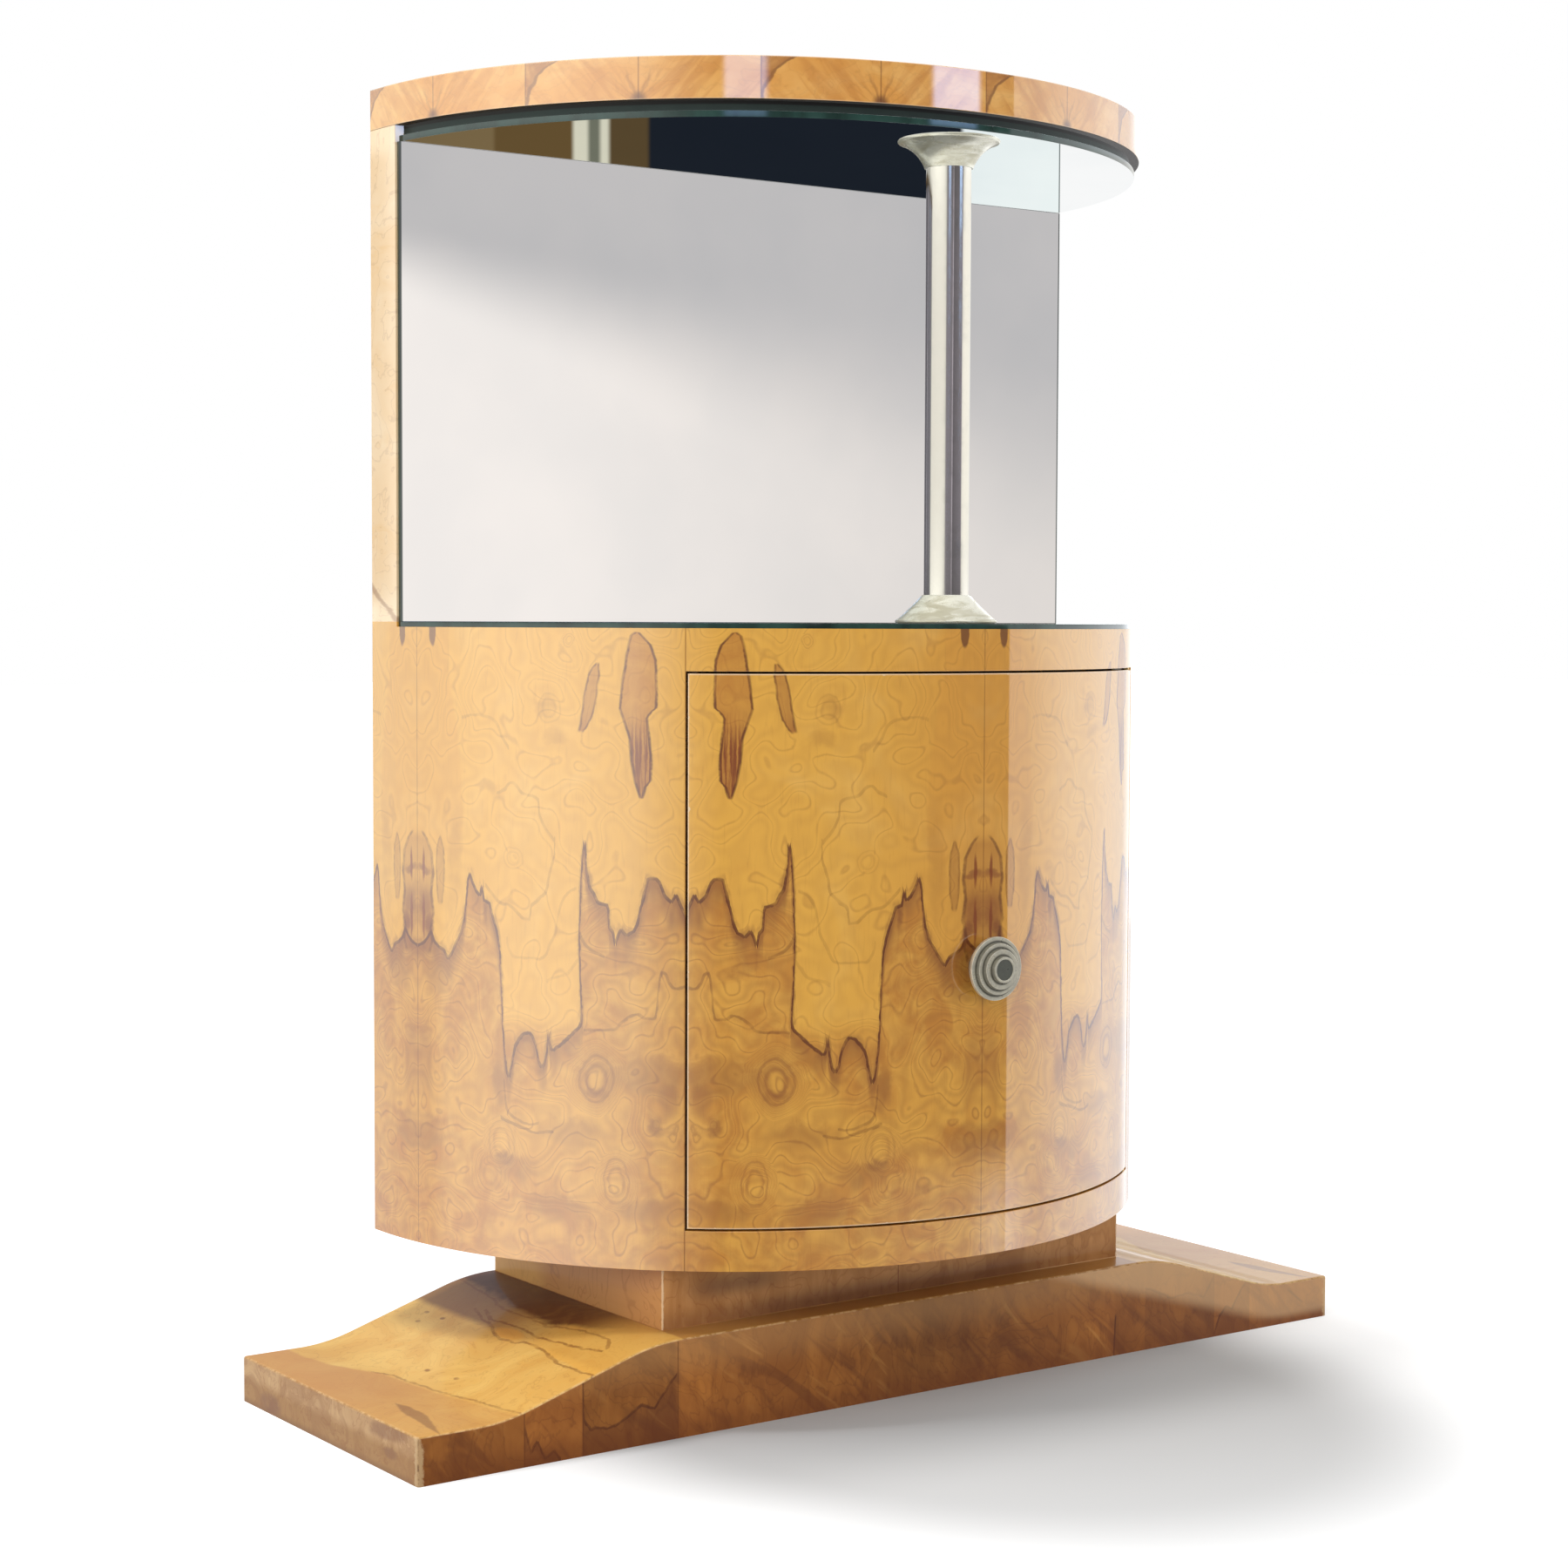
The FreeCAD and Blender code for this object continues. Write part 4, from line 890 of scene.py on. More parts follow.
def clouded(name, low, high, stretch, noise, steps, gloss):
    """Two tones, mixed by a noise whose place is stretched along x, y and z."""
    finish = Finish(name, Roughness=gloss)
    x, y, z = (part * share for part, share in zip(finish.places(), stretch))
    finish.set("Base Color", x.vector(y, z).noise(*noise).step(*steps).blend(low, high))


def mirror(name):
    """Silvered glass, a trace of grey in it, with a dark rim where the bay's mirror ends."""
    finish = Finish(name, Metallic=1.0, Roughness=0.0)
    x, y, z = finish.places()
    base = Coat(x.vector(y, z).noise(0.006).step(0.3, 0.7), paint(236, 240, 240), paint(230, 235, 236))
    rim = x.size().step(423.8, 424.6) * (y > STILE_Y - 6) * (z < BAY_HIGH)
    base.lay(rim * 0.85, paint(70, 82, 80))
    finish.set("Base Color", base)


def glass_edge(name, tone):
    """The ground green edge of plate glass."""
    finish = Finish(name, Roughness=0.08, Coat_Weight=0.5, Coat_Roughness=0.05)
    angle, z = finish.drum_places()
    patches = (angle * ARC).vector(0.0, z * 0.2).noise(0.02, 3.0, 0.6)
    finish.set("Base Color", patches.step(0.35, 0.7).blend(tone, darker(tone, 0.3)))


def metal(name, tone, gloss, wear, tarnish):
    """Plated or cast metal, with soft tarnish and fine scratches."""
    finish = Finish(name, Metallic=1.0)
    x, y, z = finish.places()
    cloud = x.vector(y, z).noise(0.05, 4.0, 0.6)
    scratch = x.vector(y, z * 8.0).noise(0.6, 2.0)
    finish.set("Base Color", (cloud.step(0.4, 0.75) * tarnish).blend(tone, darker(tone, 0.55)))
    finish.set("Roughness", cloud.step(0.3, 0.8, gloss, gloss + wear) + scratch.step(0.6, 0.8) * 0.04)
    finish.bump(scratch, 0.02, 0.2)


def recess_shade_board():
    """The packing in the recess under the slab, coloured as painted shade: near black at the top, dark green
    below like the glass edge.
    """
    finish = Finish("recess_shade_board", Roughness=0.5, Specular_IOR_Level=0.3)
    x, y, z = finish.places()
    base = Coat(x.vector(y * 0.2, z).noise(0.06, 3.0, 0.6), paint(30, 42, 40), paint(44, 56, 52))
    # Painted shade: a near-black band along the top, under the slab's edge
    base.lay(z.step(SLAB_LOW - 4.0, SLAB_LOW - 2.5), paint(16, 13, 11))
    finish.set("Base Color", base)


def cast_nickel():
    """The flanges: satin nickel with level pale and dark patches painted as reflections, smoother where pale.
    """
    finish = Finish("cast_nickel", Metallic=0.5, Roughness=0.32)
    x, y, z = finish.places()
    patches = (x * 0.5).vector(y * 0.5, z * 2.2).noise(0.05, 3.0, 0.6, 1.0)
    # Painted reflections: pale level patches of highlight, and thin darker level streaks
    base = Coat(patches.step(0.35, 0.62), paint(206, 200, 176), paint(246, 243, 226))
    base.lay(x.vector(y, z * 3.0).noise(0.12, 3.0, 0.6).step(0.6, 0.75) * 0.4, paint(150, 142, 120))
    finish.set("Base Color", base)
    finish.set("Roughness", patches.step(0.3, 0.7, 0.36, 0.2))


def turned_pewter(tone):
    """The knob: pale beads, dark grooves between them and a dark middle."""
    finish = Finish("turned_pewter", Metallic=0.6)
    x, y, z = finish.places()
    away = x.oval(1.0, z - KNOB_Z, 1.0) ** 0.5
    stain = x.vector(y, z).noise(0.12, 4.0, 0.65)
    base = Coat(stain.step(0.35, 0.7) * 0.5, tone, darker(tone, 0.5))
    grooves = [away.near(KNOB_R * share + 1.2, 2.2) for share in KNOB_STEPS[1:]]
    base.lay(strongest(grooves) * 0.85, paint(52, 52, 46))
    base.lay(away.step(10.4, 10.0) * 0.85, paint(66, 72, 68))
    finish.set("Base Color", base)
    finish.set("Roughness", stain.step(0.3, 0.8, 0.26, 0.45))


# Operators, in the order in which main calls them

class CABINET_OT_finishes(bpy.types.Operator):
    """Make the cabinet's veneers, woods, glass and metals"""
    bl_idname = "cabinet.finishes"
    bl_label = "Finishes"

    def execute(self, context):
        paints = context.scene.cabinet_colours
        drum_veneer("drum_veneer")
        drum_veneer("door_veneer", door=True)
        slab_veneer()
        plinth_veneer()
        stile_veneer()
        wood("inner_board", paints.inner, 0.32)
        wood("plain_board", paints.raw, 0.75)
        clouded("ply_board", paints.raw, darker(paints.raw, 0.7), (0.25, 1.0, 0.05),
                (0.03, 5.0, 0.6, 1.0), (0.35, 0.7), 0.6)
        mirror("mirror_glass")
        glass_edge("glass_edge", paints.edge_glass)
        clouded("dark_glass", darker(paints.edge_glass, 0.25), darker(paints.edge_glass, 0.4),
                (1.0, 1.0, 1.0), (0.01, 4.0), (0.3, 0.7), 0.02)
        metal("nickel_plate", paints.nickel, 0.08, 0.08, 0.15)
        metal("aged_pewter", paints.pewter, 0.24, 0.16, 0.6)
        recess_shade_board()
        cast_nickel()
        turned_pewter(paints.pewter)
        metal("satin_brass", paints.brass, 0.2, 0.1, 0.4)
        metal("plain_steel", paints.steel, 0.25, 0.1, 0.3)
        return {"FINISHED"}


def ogee_block(*cuts):
    """The whole plinth as one block with rounded arrises, less what lies beyond each cut."""
    bm = bmesh.new()
    run = PLINTH_X - END_FLAT - CROWN_X
    rise = CROWN - END_HIGH
    drop = 2 * OGEE_R - rise
    ramp = math.asin(2 * OGEE_R / math.hypot(run, drop)) - math.atan2(drop, run)
    for side in (-1, 1):
        for x, z, centre_z in ((CROWN_X, CROWN, CROWN - OGEE_R),
                               (PLINTH_X - END_FLAT, END_HIGH, END_HIGH + OGEE_R)):
            start = bm.verts.new((side * x, PLINTH_FRONT, z))
            spin(bm, [start], (side * x, 0, centre_z), (0, side, 0), ramp, 12)
    loop = sorted(bm.verts, key=lambda vert: vert.co.x)
    left, right = ([bm.verts.new((side * PLINTH_X, PLINTH_FRONT, z)) for z in (0, END_HIGH)]
                   for side in (-1, 1))
    loop = left + loop + right[::-1]
    for pair in zip(loop, loop[1:] + loop[:1]):
        if bm.edges.get(pair) is None:
            bm.edges.new(pair)
    raised(bm, bm.edges[:], (0, PLINTH_BACK - PLINTH_FRONT, 0))
    width = bpy.context.scene.cabinet_sizes.plinth_arris
    round_edges(bm, width, lambda edge: not all(vert.co.z < 1 for vert in edge.verts), angle=30.0)
    for place, normal in cuts:
        cut(bm, place, normal)
    return bm


class CABINET_OT_plinth(bpy.types.Operator):
    """Build the plinth's rails, ends and bent top skin"""
    bl_idname = "cabinet.plinth"
    bl_label = "Plinth"

    def execute(self, context):
        front = PLINTH_FRONT + PLINTH_BOARD
        back = PLINTH_BACK - PLINTH_BOARD
        end = PLINTH_X - PLINTH_BOARD
        between_rails = (((0, front, 0), (0, -1, 0)), ((0, back, 0), (0, 1, 0)))
        boards = [("plinth_face", "plinth_front_rail", [((0, front, 0), (0, 1, 0))]),
                  ("plinth_rear", "plinth_back_rail", [((0, back, 0), (0, -1, 0))])]
        for name, side in SIDES:
            inner = ((side * end, 0, 0), (-side, 0, 0))
            boards.append(("plinth_cheek_" + name, "plinth_end_" + name, [*between_rails, inner]))
        for name, node, cuts in boards:
            piece(name, ogee_block(*cuts), "plinth_veneer", node)
        bm = ogee_block(*between_rails, ((-end, 0, 0), (-1, 0, 0)), ((end, 0, 0), (1, 0, 0)))
        bmesh.ops.recalc_face_normals(bm, faces=bm.faces)
        hidden = [face for face in bm.faces if face.normal.z < 0.3]
        bmesh.ops.delete(bm, geom=hidden, context="FACES")
        bmesh.ops.solidify(bm, geom=bm.faces[:], thickness=PLINTH_SKIN)
        piece("plinth_cover", bm, "plinth_veneer", "plinth_top_skin")
        return {"FINISHED"}


class CABINET_OT_riser(bpy.types.Operator):
    """Build the four mitred boards of the riser"""
    bl_idname = "cabinet.riser"
    bl_label = "Riser"

    def execute(self, context):
        arris = context.scene.cabinet_sizes.arris
        half_x, half_y = CROWN_X, (BACK_Y - RISER_FRONT) / 2
        sides = (("front", 0, half_x, half_y), ("right", 90, half_y, half_x),
                 ("back", 180, half_x, half_y), ("left", 270, half_y, half_x))
        for name, turn, reach, depth in sides:
            bm = block((-reach, -depth, CROWN), (reach, -depth + RISER_BOARD, DRUM_LOW))
            round_edges(bm, arris, lambda edge: upright(edge) and all(
                vert.co.y < -depth + 0.01 for vert in edge.verts))
            cut(bm, (reach, -depth, 0), (1, 1, 0))
            cut(bm, (-reach, -depth, 0), (-1, 1, 0))
            stand(bm, (0, (RISER_FRONT + BACK_Y) / 2, 0), turn, "Z")
            piece("riser_board_" + name, bm, "plinth_veneer", "riser_" + name)
        return {"FINISHED"}


class CABINET_OT_drum(bpy.types.Operator):
    """Build the drum's bent sides and the rails over and under the door"""
    bl_idname = "cabinet.drum"
    bl_label = "Drum"

    def execute(self, context):
        arris = context.scene.cabinet_sizes.arris
        for name, side in SIDES:
            first, last = sorted((side * JAMB, side * 90))
            bm = bent_board(SHELL_IN, DRUM_R, first, last, DRUM_LOW, DRUM_HIGH)
            cut(bm, (0, STILE_Y, 0), (0, 1, 0))
            jamb = polar(DRUM_R, side * JAMB).xy
            round_edges(bm, arris, lambda edge: all((vert.co.xy - jamb).length < 0.1 for vert in edge.verts))
            line_inside(piece("drum_side_" + name, bm, "drum_veneer", "side_shell_" + name), SHELL_IN)
        for name, node, low, high, lip in (("drum_sill", "sill_rail", DRUM_LOW, FLOOR_TOP, FLOOR_TOP),
                                           ("drum_head", "head_rail", HEAD_LOW, DRUM_HIGH, HEAD_LOW)):
            bm = bent_board(SHELL_IN, DRUM_R, -JAMB, JAMB, low, high)
            round_edges(bm, arris, lambda edge: outside(edge) and all(
                abs(vert.co.z - lip) < 0.1 for vert in edge.verts))
            line_inside(piece(name, bm, "drum_veneer", node), SHELL_IN)
        return {"FINISHED"}


class CABINET_OT_stiles(bpy.types.Operator):
    """Build the two full-height posts with their veneered sides"""
    bl_idname = "cabinet.stiles"
    bl_label = "Stiles"

    def execute(self, context):
        bow = math.asin((DRUM_Y - STILE_Y) / DRUM_R)
        for name, side in SIDES:
            bm = bmesh.new()
            start = bm.verts.new((side * DRUM_R, DRUM_Y, DRUM_LOW))
            spin(bm, [start], (0, DRUM_Y, 0), (0, 0, -side), bow, 5)
            last = min(bm.verts, key=lambda vert: vert.co.y)
            corners = [bm.verts.new((side * x, y, DRUM_LOW)) for x, y in (
                (STILE_X, STILE_Y), (STILE_X, BACK_Y), (DRUM_R, BACK_Y))]
            chain(bm, [last] + corners + [start])
            raised(bm, bm.edges[:], (0, 0, SLAB_LOW - DRUM_LOW))
            round_edges(bm, context.scene.cabinet_sizes.arris, upright)
            bmesh.ops.bisect_plane(bm, geom=everything(bm), dist=1e-4, plane_co=(0, 0, COUNTER),
                                   plane_no=(0, 0, 1))
            made = piece("post_" + name, bm, "stile_veneer", "stile_" + name)
            refinish(made, "drum_veneer", lambda part: part.center.z < COUNTER / 1000)
        return {"FINISHED"}


class CABINET_OT_slab(bpy.types.Operator):
    """Build the slab's lipping, its board and the dark recess under it"""
    bl_idname = "cabinet.slab"
    bl_label = "Slab"

    def execute(self, context):
        core_r = DRUM_R - LIPPING
        bm = bent_board(core_r, DRUM_R, -90, 90, SLAB_LOW, SLAB_HIGH, tail=BACK_Y - DRUM_Y)
        round_edges(bm, context.scene.cabinet_sizes.arris, outside, angle=60.0)
        piece("slab_band", bm, "slab_edge", "slab_lipping")
        bm = half_plan(core_r, BACK_Y, SLAB_LOW, SLAB_HIGH)
        piece("slab_board", bm, "stile_veneer", "slab_core", slot="slab_veneer")
        bm = half_plan(DRUM_R - RECESS_INSET, STILE_Y, RECESS, SLAB_LOW)
        piece("slab_packing", bm, "recess_shade_board", "slab_backing", slot="inner_wood")
        return {"FINISHED"}


class CABINET_OT_glass(bpy.types.Operator):
    """Build the counter's plate and the two mirrors"""
    bl_idname = "cabinet.glass"
    bl_label = "Glass"

    def execute(self, context):
        plate_r = DRUM_R - COUNTER_INSET
        for name, node, slot, face, radius, low, high in (
                ("counter_plate", "counter_glass", "black_glass", "dark_glass", plate_r, DRUM_HIGH, COUNTER),
                ("slab_mirror", "underside_mirror", "silvered_glass", "mirror_glass",
                 DRUM_R - MIRROR_INSET, BAY_HIGH, RECESS)):
            bm = half_plan(radius, STILE_Y, low, high)
            round_edges(bm, PLATE_ARRIS, lambda edge: not any(
                abs(vert.co.y - STILE_Y) < 0.1 for vert in edge.verts), segments=2)
            made = piece(name, bm, "glass_edge", node, slot=slot)
            refinish(made, face, lambda part: abs(part.normal.z) > 0.9)
        half = math.sqrt(plate_r ** 2 - (DRUM_Y - STILE_Y) ** 2)
        bm = block((-half, STILE_Y - BACK_GLASS, COUNTER), (half, STILE_Y, BAY_HIGH))
        round_edges(bm, MIRROR_ARRIS, segments=2)
        made = piece("bay_mirror", bm, "glass_edge", "back_mirror", slot="silvered_glass")
        refinish(made, "mirror_glass", lambda part: abs(part.normal.y) > 0.9)
        return {"FINISHED"}


def flange(cove):
    """A trumpet flange standing on its wide rim; cove is the radius of its hollow side."""
    bore, neck, shoulder, tall, rim = 22.05, 23.6, 48.0, 28.0, 4.0
    bm = bmesh.new()
    start = Vector((neck, 0, tall))
    end = Vector((shoulder, 0, rim))
    chord = end - start
    inward = Vector((-chord.z, 0, chord.x)).normalized()
    centre = (start + end) / 2 + inward * math.sqrt(cove ** 2 - (chord.length / 2) ** 2)
    first = bm.verts.new(start)
    spin(bm, [first], centre, (0, -1, 0), 2 * math.asin(chord.length / 2 / cove), 16)
    lip = bm.verts.new((shoulder, 0, 0))
    spin(bm, [lip], (shoulder, 0, rim / 2), (0, -1, 0), math.pi, 10)
    chain(bm, [lip, bm.verts.new((bore, 0, 0)), bm.verts.new((bore, 0, tall)), first])
    bmesh.ops.remove_doubles(bm, verts=bm.verts, dist=0.01)
    spin(bm, everything(bm), (0, 0, 0), (0, 0, 1), math.tau, 96, merge=True)
    return bm


class CABINET_OT_column(bpy.types.Operator):
    """Build the metal column and its two trumpet flanges"""
    bl_idname = "cabinet.column"
    bl_label = "Column"

    def execute(self, context):
        for name, node, z, turn, cove in (("flange_low", "column_flange_lower", COUNTER, 0, 300.0),
                                          ("flange_high", "column_flange_upper", BAY_HIGH, 180, 40.0)):
            bm = flange(cove)
            stand(bm, (0, COLUMN_Y, z), turn)
            piece(name, bm, "cast_nickel", node, slot="nickel", sharp=50.0)
        tall = BAY_HIGH - COUNTER
        bm = turned(((TUBE_IN, 0), (TUBE_R, 0), (TUBE_R, tall), (TUBE_IN, tall), (TUBE_IN, 0)))
        stand(bm, (0, COLUMN_Y, COUNTER))
        piece("post_tube", bm, "nickel_plate", "column_tube", slot="nickel")
        return {"FINISHED"}


class CABINET_OT_door(bpy.types.Operator):
    """Build the curved door"""
    bl_idname = "cabinet.door"
    bl_label = "Door"

    def execute(self, context):
        bm = bent_board(DOOR_IN, DRUM_R, -DOOR_EDGE, DOOR_EDGE, DOOR_LOW, DOOR_HIGH)
        round_edges(bm, DOOR_ARRIS, outside)
        line_inside(piece("door_leaf", bm, "door_veneer", "door_panel", body="door"), DOOR_IN)
        return {"FINISHED"}


class CABINET_OT_knob(bpy.types.Operator):
    """Build the stepped knob and its rose"""
    bl_idname = "cabinet.knob"
    bl_label = "Knob"

    def execute(self, context):
        steps = [KNOB_R * share for share in KNOB_STEPS] + [HOLLOW_R]
        z = KNOB_BACK
        profile = [(0, ROSE_THICK), (STEM_R, ROSE_THICK), (STEM_R, z), (steps[0], z)]
        rims = [(steps[0], z)]
        for radius, inner in zip(steps, steps[1:]):
            z += KNOB_STEP
            profile += [(radius, z), (inner, z)]
            rims.append((radius, z))
        rims.append((HOLLOW_R, z))
        profile += [(HOLLOW_R, z - HOLLOW_DEPTH), (0, z - HOLLOW_DEPTH)]
        knob = turned(profile, rims, KNOB_BEAD, segments=5)
        rose = turned(((0, 0), (ROSE_R, 0), (ROSE_R, ROSE_THICK), (0, ROSE_THICK)),
                      ((ROSE_R, ROSE_THICK),), ROSE_BEAD)
        for bm in (knob, rose):
            stand(bm, (0, DRUM_Y - DRUM_R, KNOB_Z), 90)
        piece("door_knob", knob, "turned_pewter", "knob", slot="pewter", body="door", sharp=45.0)
        piece("door_rose", rose, "aged_pewter", "knob_rose", slot="pewter", body="door")
        return {"FINISHED"}


class CABINET_OT_fittings(bpy.types.Operator):
    """Give the CAD nodes that stay their finishes"""
    bl_idname = "cabinet.fittings"
    bl_label = "Fittings"

    def execute(self, context):
        finishes = {"inner_wood": "inner_board", "plywood": "ply_board", "rough_wood": "plain_board",
                    "brass": "satin_brass", "steel": "plain_steel", "veneer": "stile_veneer",
                    "slab_veneer": "slab_edge", "black_glass": "dark_glass",
                    "silvered_glass": "mirror_glass", "nickel": "nickel_plate", "pewter": "aged_pewter"}
        for part in frame["record"]["subparts"]:
            node = frame["nodes"][part["node"]]
            material = named(finishes[part["material_slot"]])
            if len(node.material_slots) == 0:
                node.data.materials.append(material)
            for slot in node.material_slots:
                slot.material = material
        for node in ("column_rod", "column_insert", "column_nut", "column_washer", "slab_dowels"):
            frame["nodes"][node].visible_glossy = False
        return {"FINISHED"}


class CABINET_OT_studio(bpy.types.Operator):
    """Set up the floor, the light, the world and the camera"""
    bl_idname = "cabinet.studio"
    bl_label = "Studio"

    def execute(self, context):
        scene = context.scene
        scene.view_settings.view_transform = "Standard"
        self.camera(scene)
        self.floor(scene)
        self.lamps(scene)
        self.world(scene)
        return {"FINISHED"}

    def camera(self, scene):
        yaw, pitch, roll = (math.radians(angle) for angle in CAMERA_TURNS)
        ahead = Vector((math.sin(yaw) * math.cos(pitch), math.cos(yaw) * math.cos(pitch), math.sin(pitch)))
        side = Vector((math.cos(yaw), -math.sin(yaw), 0))
        top = side.cross(ahead)
        right = side * math.cos(roll) + top * math.sin(roll)
        up = top * math.cos(roll) - side * math.sin(roll)
        lens = bpy.data.cameras.new("camera")
        lens.lens = LENS
        lens.sensor_width = 36.0
        lens.clip_end = 100.0
        made = bpy.data.objects.new("camera", lens)
        turn = Matrix((right, up, -ahead)).transposed().to_4x4()
        made.matrix_world = Matrix.Translation(CAMERA_SPOT) @ turn
        scene.collection.objects.link(made)
        scene.camera = made

    def floor(self, scene):
        bm = bmesh.new()
        bmesh.ops.create_grid(bm, x_segments=1, y_segments=1, size=30.0)
        mesh = bpy.data.meshes.new("studio_floor")
        bm.to_mesh(mesh)
        bm.free()
        made = bpy.data.objects.new("studio_floor", mesh)
        scene.collection.objects.link(made)
        made.visible_glossy = False
        finish = Finish("studio_floor", Base_Color=scene.cabinet_colours.floor, Roughness=0.9,
                        Specular_IOR_Level=0.0)
        start = finish.start
        x, y, z = start.coordinates(3)
        # The shadow lies in front of the plinth. Painted light: for camera rays the floor glows, more the
        # farther it is from there and towards the front, so the lamps' shadow shows only there
        far = (x - 0.02).oval(0.44, y + 0.12, 0.6) ** 0.5
        glow = far.step(0.7, 1.15, 0.0, 0.5) + far.step(1.05, 1.6, 0.0, 0.35) + y.step(-0.22, -0.4, 0.0, 0.12)
        lift = start.node("Emission", None, {"Strength": start.node("LightPath") * glow})
        both = start.node("AddShader", None, {0: Wire(finish.tree, finish.shader.outputs[0]), 1: lift})
        finish.tree.links.new(both.socket, finish.tree.nodes["Material Output"].inputs["Surface"])
        mesh.materials.append(finish.material)

    def lamps(self, scene):
        for name, spot, wide, power in LAMPS:
            lamp = bpy.data.lights.new(name, "AREA")
            lamp.size = wide
            lamp.energy = power
            made = bpy.data.objects.new(name, lamp)
            turn = (AIM - Vector(spot)).to_track_quat("-Z", "Y").to_matrix().to_4x4()
            made.matrix_world = Matrix.Translation(spot) @ turn
            made.visible_glossy = False
            scene.collection.objects.link(made)

    def world(self, scene):
        world = bpy.data.worlds.new("studio")
        world.use_nodes = True
        scene.world = world
        tree = world.node_tree
        back = next(node for node in tree.nodes if node.type == "BACKGROUND")
        start = Wire(tree)
        x, y, z = start.coordinates(0)
        turn = x.maths("ARCTAN2", y * -1) * math.degrees(1)
        rise = z.maths("ARCSINE") * math.degrees(1)
        # Windows to the left and right of a dim room; the drum shows them below the horizon
        drum = turn.curve([(-180, 0.8), (-150, 1.2), (-131, 1.3), (-100, 1.7), (-80, 1.65), (-62, 1.3),
                           (-54, 0.8), (-46, 0.35), (-38, 0.1), (40, 0.08), (180, 0.08)])
        window = turn.curve([(40, 0.8), (55, 0.95), (70, 1.45), (95, 1.55), (112, 1.2), (133, 2.3),
                             (139, 2.0), (145, 0.6), (150, 0.25), (180, 0.2)])
        drum = drum * turn.step(0, 60, 1.0, 0.9) + turn.step(47.3, 47.8) * window
        low = turn.curve([(-30, 0.0), (0, 0.15), (20, 0.35), (34, 0.5), (38, 0.8), (44, 1.3), (60, 0.0)])
        drum = drum + low * rise.step(-9.8, -11.5) * rise.step(-13.6, -12.9)
        tube = turn.curve([(-180, 0.5), (-165, 0.3), (-150, 0.35), (-143, 0.9), (-60, 0.95), (-50, 0.85),
                           (-45, 0.3), (-15, 0.26), (-13, 0.9), (-10, 0.16), (0, 0.2), (38, 0.28),
                           (43, 1.0), (60, 1.1), (95, 1.1), (120, 1.0), (180, 0.5)])
        level = rise.step(0.1, 0.5) * rise.step(9.0, 8.6)
        glow = drum * (1 - level) + tube * level
        overhead = rise.step(18.0, 32.0).either(rise.step(-16.0, -24.0) * 0.8)
        glow = glow * (1 - overhead) + overhead * 0.95
        slits = rise.step(8.8, 9.2) * rise.step(15.0, 14.0)
        slits = slits * (turn.near(-32.0, 7.5).step(0.0, 0.3).either(turn.near(28.0, 9.5).step(0.0, 0.25)))
        tint = turn.step(47.3, 47.8).blend((1.0, 1.02, 0.97), (0.93, 0.96, 1.0))
        tint = level.blend(tint, (turn.near(-3.0, 44.0) > 0.0).blend((1.0, 0.99, 0.95), (0.9, 0.84, 1.0)))
        gleam = (turn.step(0.0, 20.0, 2.4, 3.8) * slits).scaled((0.4, 0.6, 1.0))
        shine = start.node("VectorMath", {"operation": "ADD"}, {0: glow.scaled(tint), 1: gleam})

        # What the mirror behind the bay shows: a pale wall below a grey-lilac one, split on a slant
        ahead = turn.step(26.0, 27.0) * turn.step(41.8, 42.6, 1.0, 0.0)
        soft = turn.curve([(26, 0.5), (32, 1.2), (36, 2.0), (42, 2.4)])
        share = (rise + (turn - 28.1) * 0.3 - 6.9) / soft
        fade = turn.curve([(26, 1.0), (31, 0.96), (36, 0.86), (42, 0.76)])
        wall = share.step(-1.0, 1.0).blend((fade * 1.12).scaled((1.0, 0.91, 0.87)), (0.627, 0.589, 0.592))
        path = start.node("LightPath").socket.node.outputs
        camera, glossy, sharp, depth = (Wire(tree, path[name]) for name in (
            "Is Camera Ray", "Is Glossy Ray", "Is Singular Ray", "Glossy Depth"))
        shine = (ahead * sharp * rise.step(-1.2, -0.6)).blend(shine, wall)

        # What the mirror under the slab shows by way of it: a dark room with a door and its pale frame
        pale = (0.84, 0.78, 0.62)
        room = (0.24, 0.16, 0.075)
        for place, shade in ((30.0, (0.16, 0.095, 0.036)), (31.51, pale), (31.8, (0.2, 0.2, 0.15)),
                             (32.03, pale), (32.2, (0.12, 0.075, 0.033)), (32.96, (0.014, 0.018, 0.027)),
                             (39.0, (1.09, 1.11, 1.1))):
            room = turn.step(place - 0.06, place + 0.06).blend(room, shade)
        shine = (ahead * (depth > 1.5) * rise.step(-5.0, -4.0, 1.0, 0.0)).blend(shine, room)
        behind = turn.size().step(120.0, 130.0) * rise.step(-6.0, -5.0, 1.0, 0.0)
        shine = behind.blend(shine, (1.02, 1.01, 1.01))

        day = turn.near(70.0, 110.0) * 0.85 + turn.near(-85.0, 100.0) * 0.6 + DAYLIGHT
        day = day * rise.step(12.0, 60.0, 1.0, 0.3)
        shade = camera.blend(glossy.blend(day.scaled((1.0, 0.98, 0.95)), shine), (1.0, 1.0, 1.0))
        tree.links.new(shade.socket, back.inputs["Color"])


class CABINET_PT_panel(bpy.types.Panel):
    """The cabinet's builders, sizes and colours"""
    bl_idname = "CABINET_PT_panel"
    bl_label = "Bar cabinet"
    bl_space_type = "VIEW_3D"
    bl_region_type = "UI"
    bl_category = "Cabinet"

    def draw(self, context):
        for step in STEPS:
            self.layout.operator(step.bl_idname)
        for group in settings_of(context.scene):
            for name in group.bl_rna.properties.keys():
                if name not in ("rna_type", "name"):
                    self.layout.prop(group, name)


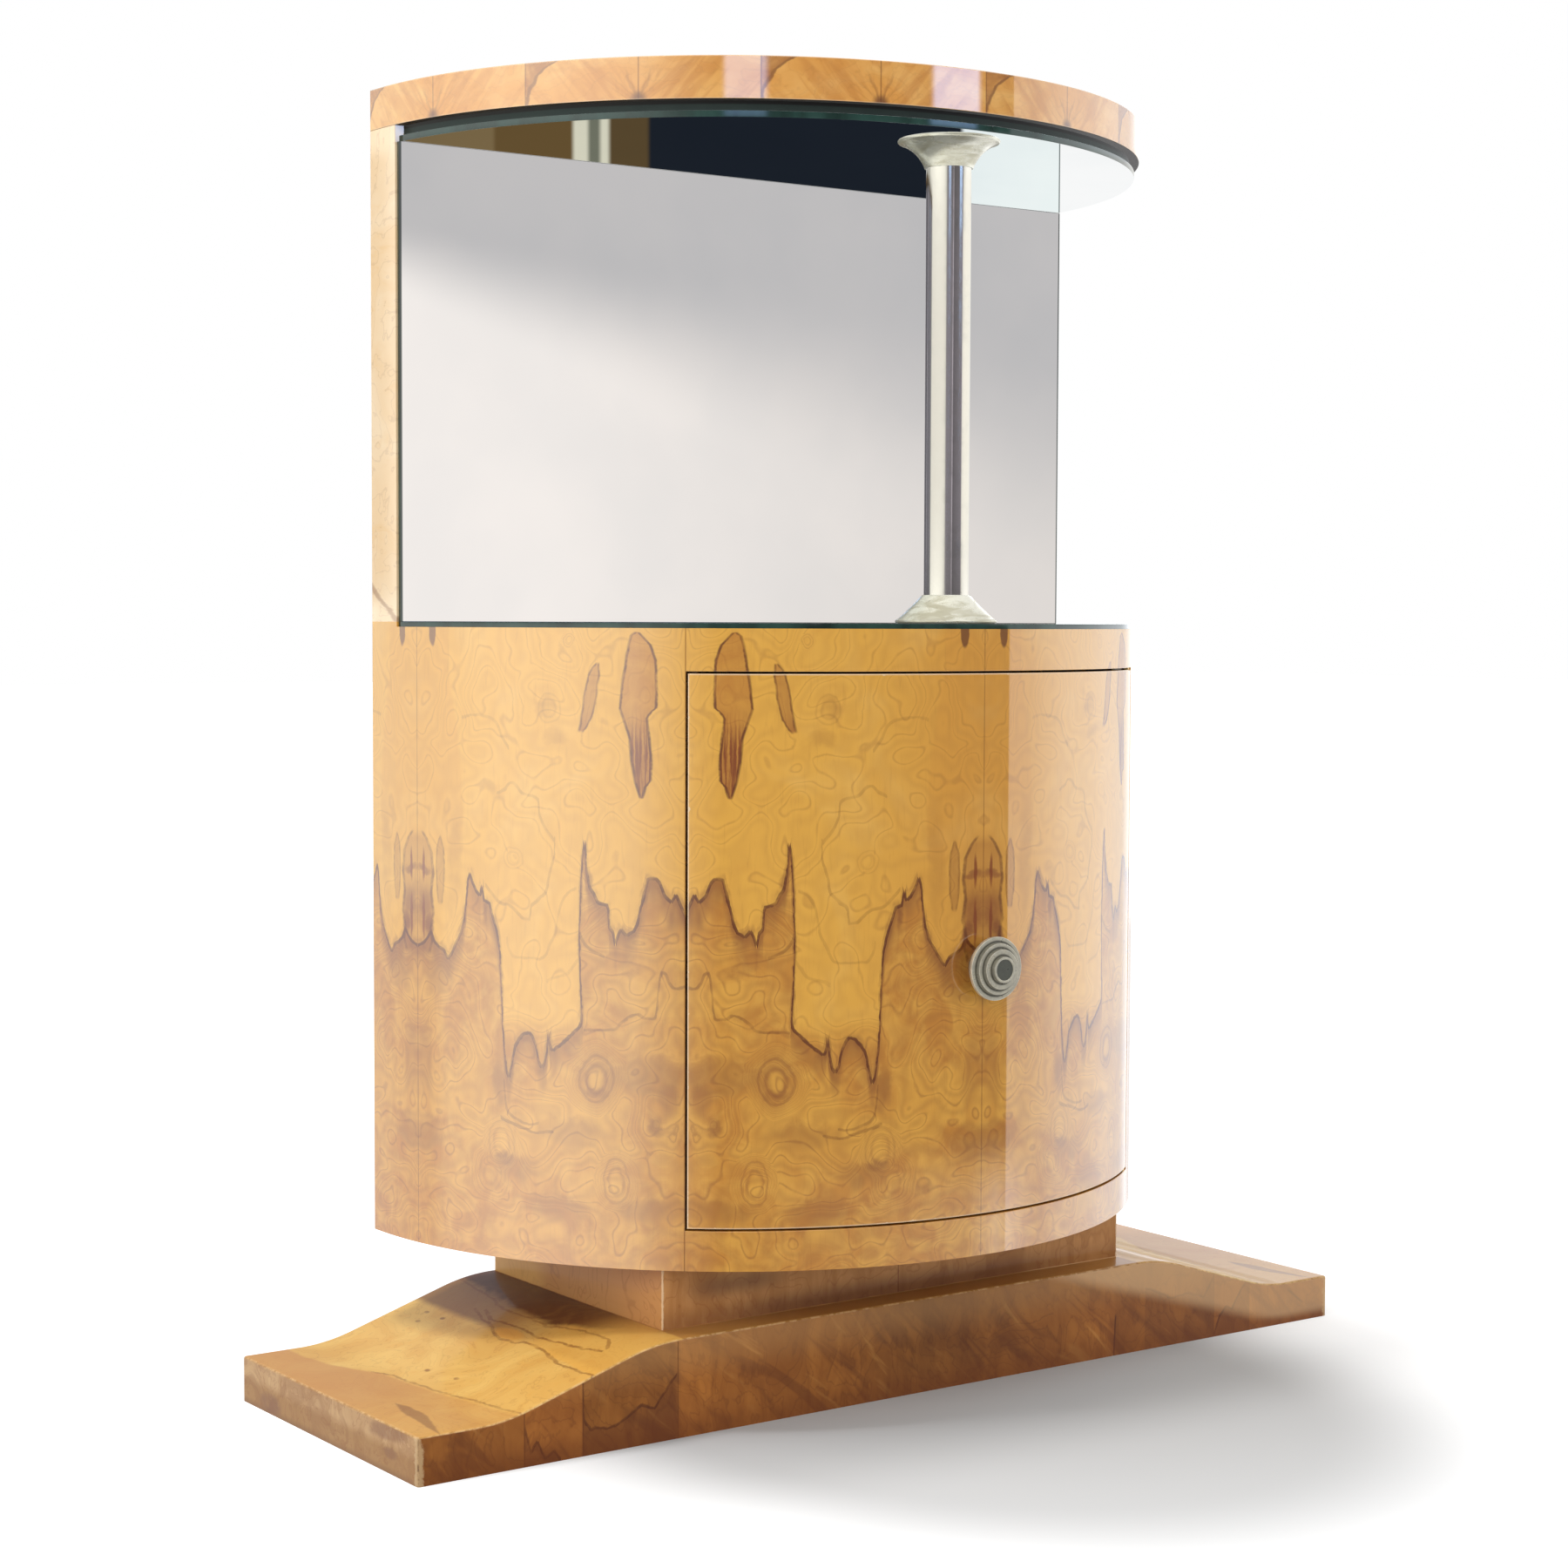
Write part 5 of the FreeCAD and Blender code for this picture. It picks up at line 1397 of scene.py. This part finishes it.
STEPS = (CABINET_OT_finishes, CABINET_OT_plinth, CABINET_OT_riser, CABINET_OT_drum,
         CABINET_OT_stiles, CABINET_OT_slab, CABINET_OT_glass, CABINET_OT_column,
         CABINET_OT_door, CABINET_OT_knob, CABINET_OT_fittings, CABINET_OT_studio)
CLASSES = (CabinetSizes, CabinetColours) + STEPS + (CABINET_PT_panel,)


def register():
    for cls in CLASSES:
        bpy.utils.register_class(cls)
    bpy.types.Scene.cabinet_sizes = PointerProperty(type=CabinetSizes)
    bpy.types.Scene.cabinet_colours = PointerProperty(type=CabinetColours)


def unregister():
    del bpy.types.Scene.cabinet_colours
    del bpy.types.Scene.cabinet_sizes
    for cls in reversed(CLASSES):
        bpy.utils.unregister_class(cls)


def main():
    register()
    for step in STEPS:
        area, action = step.bl_idname.split(".")
        getattr(getattr(bpy.ops, area), action)()


if __name__ == "__main__":
    main()
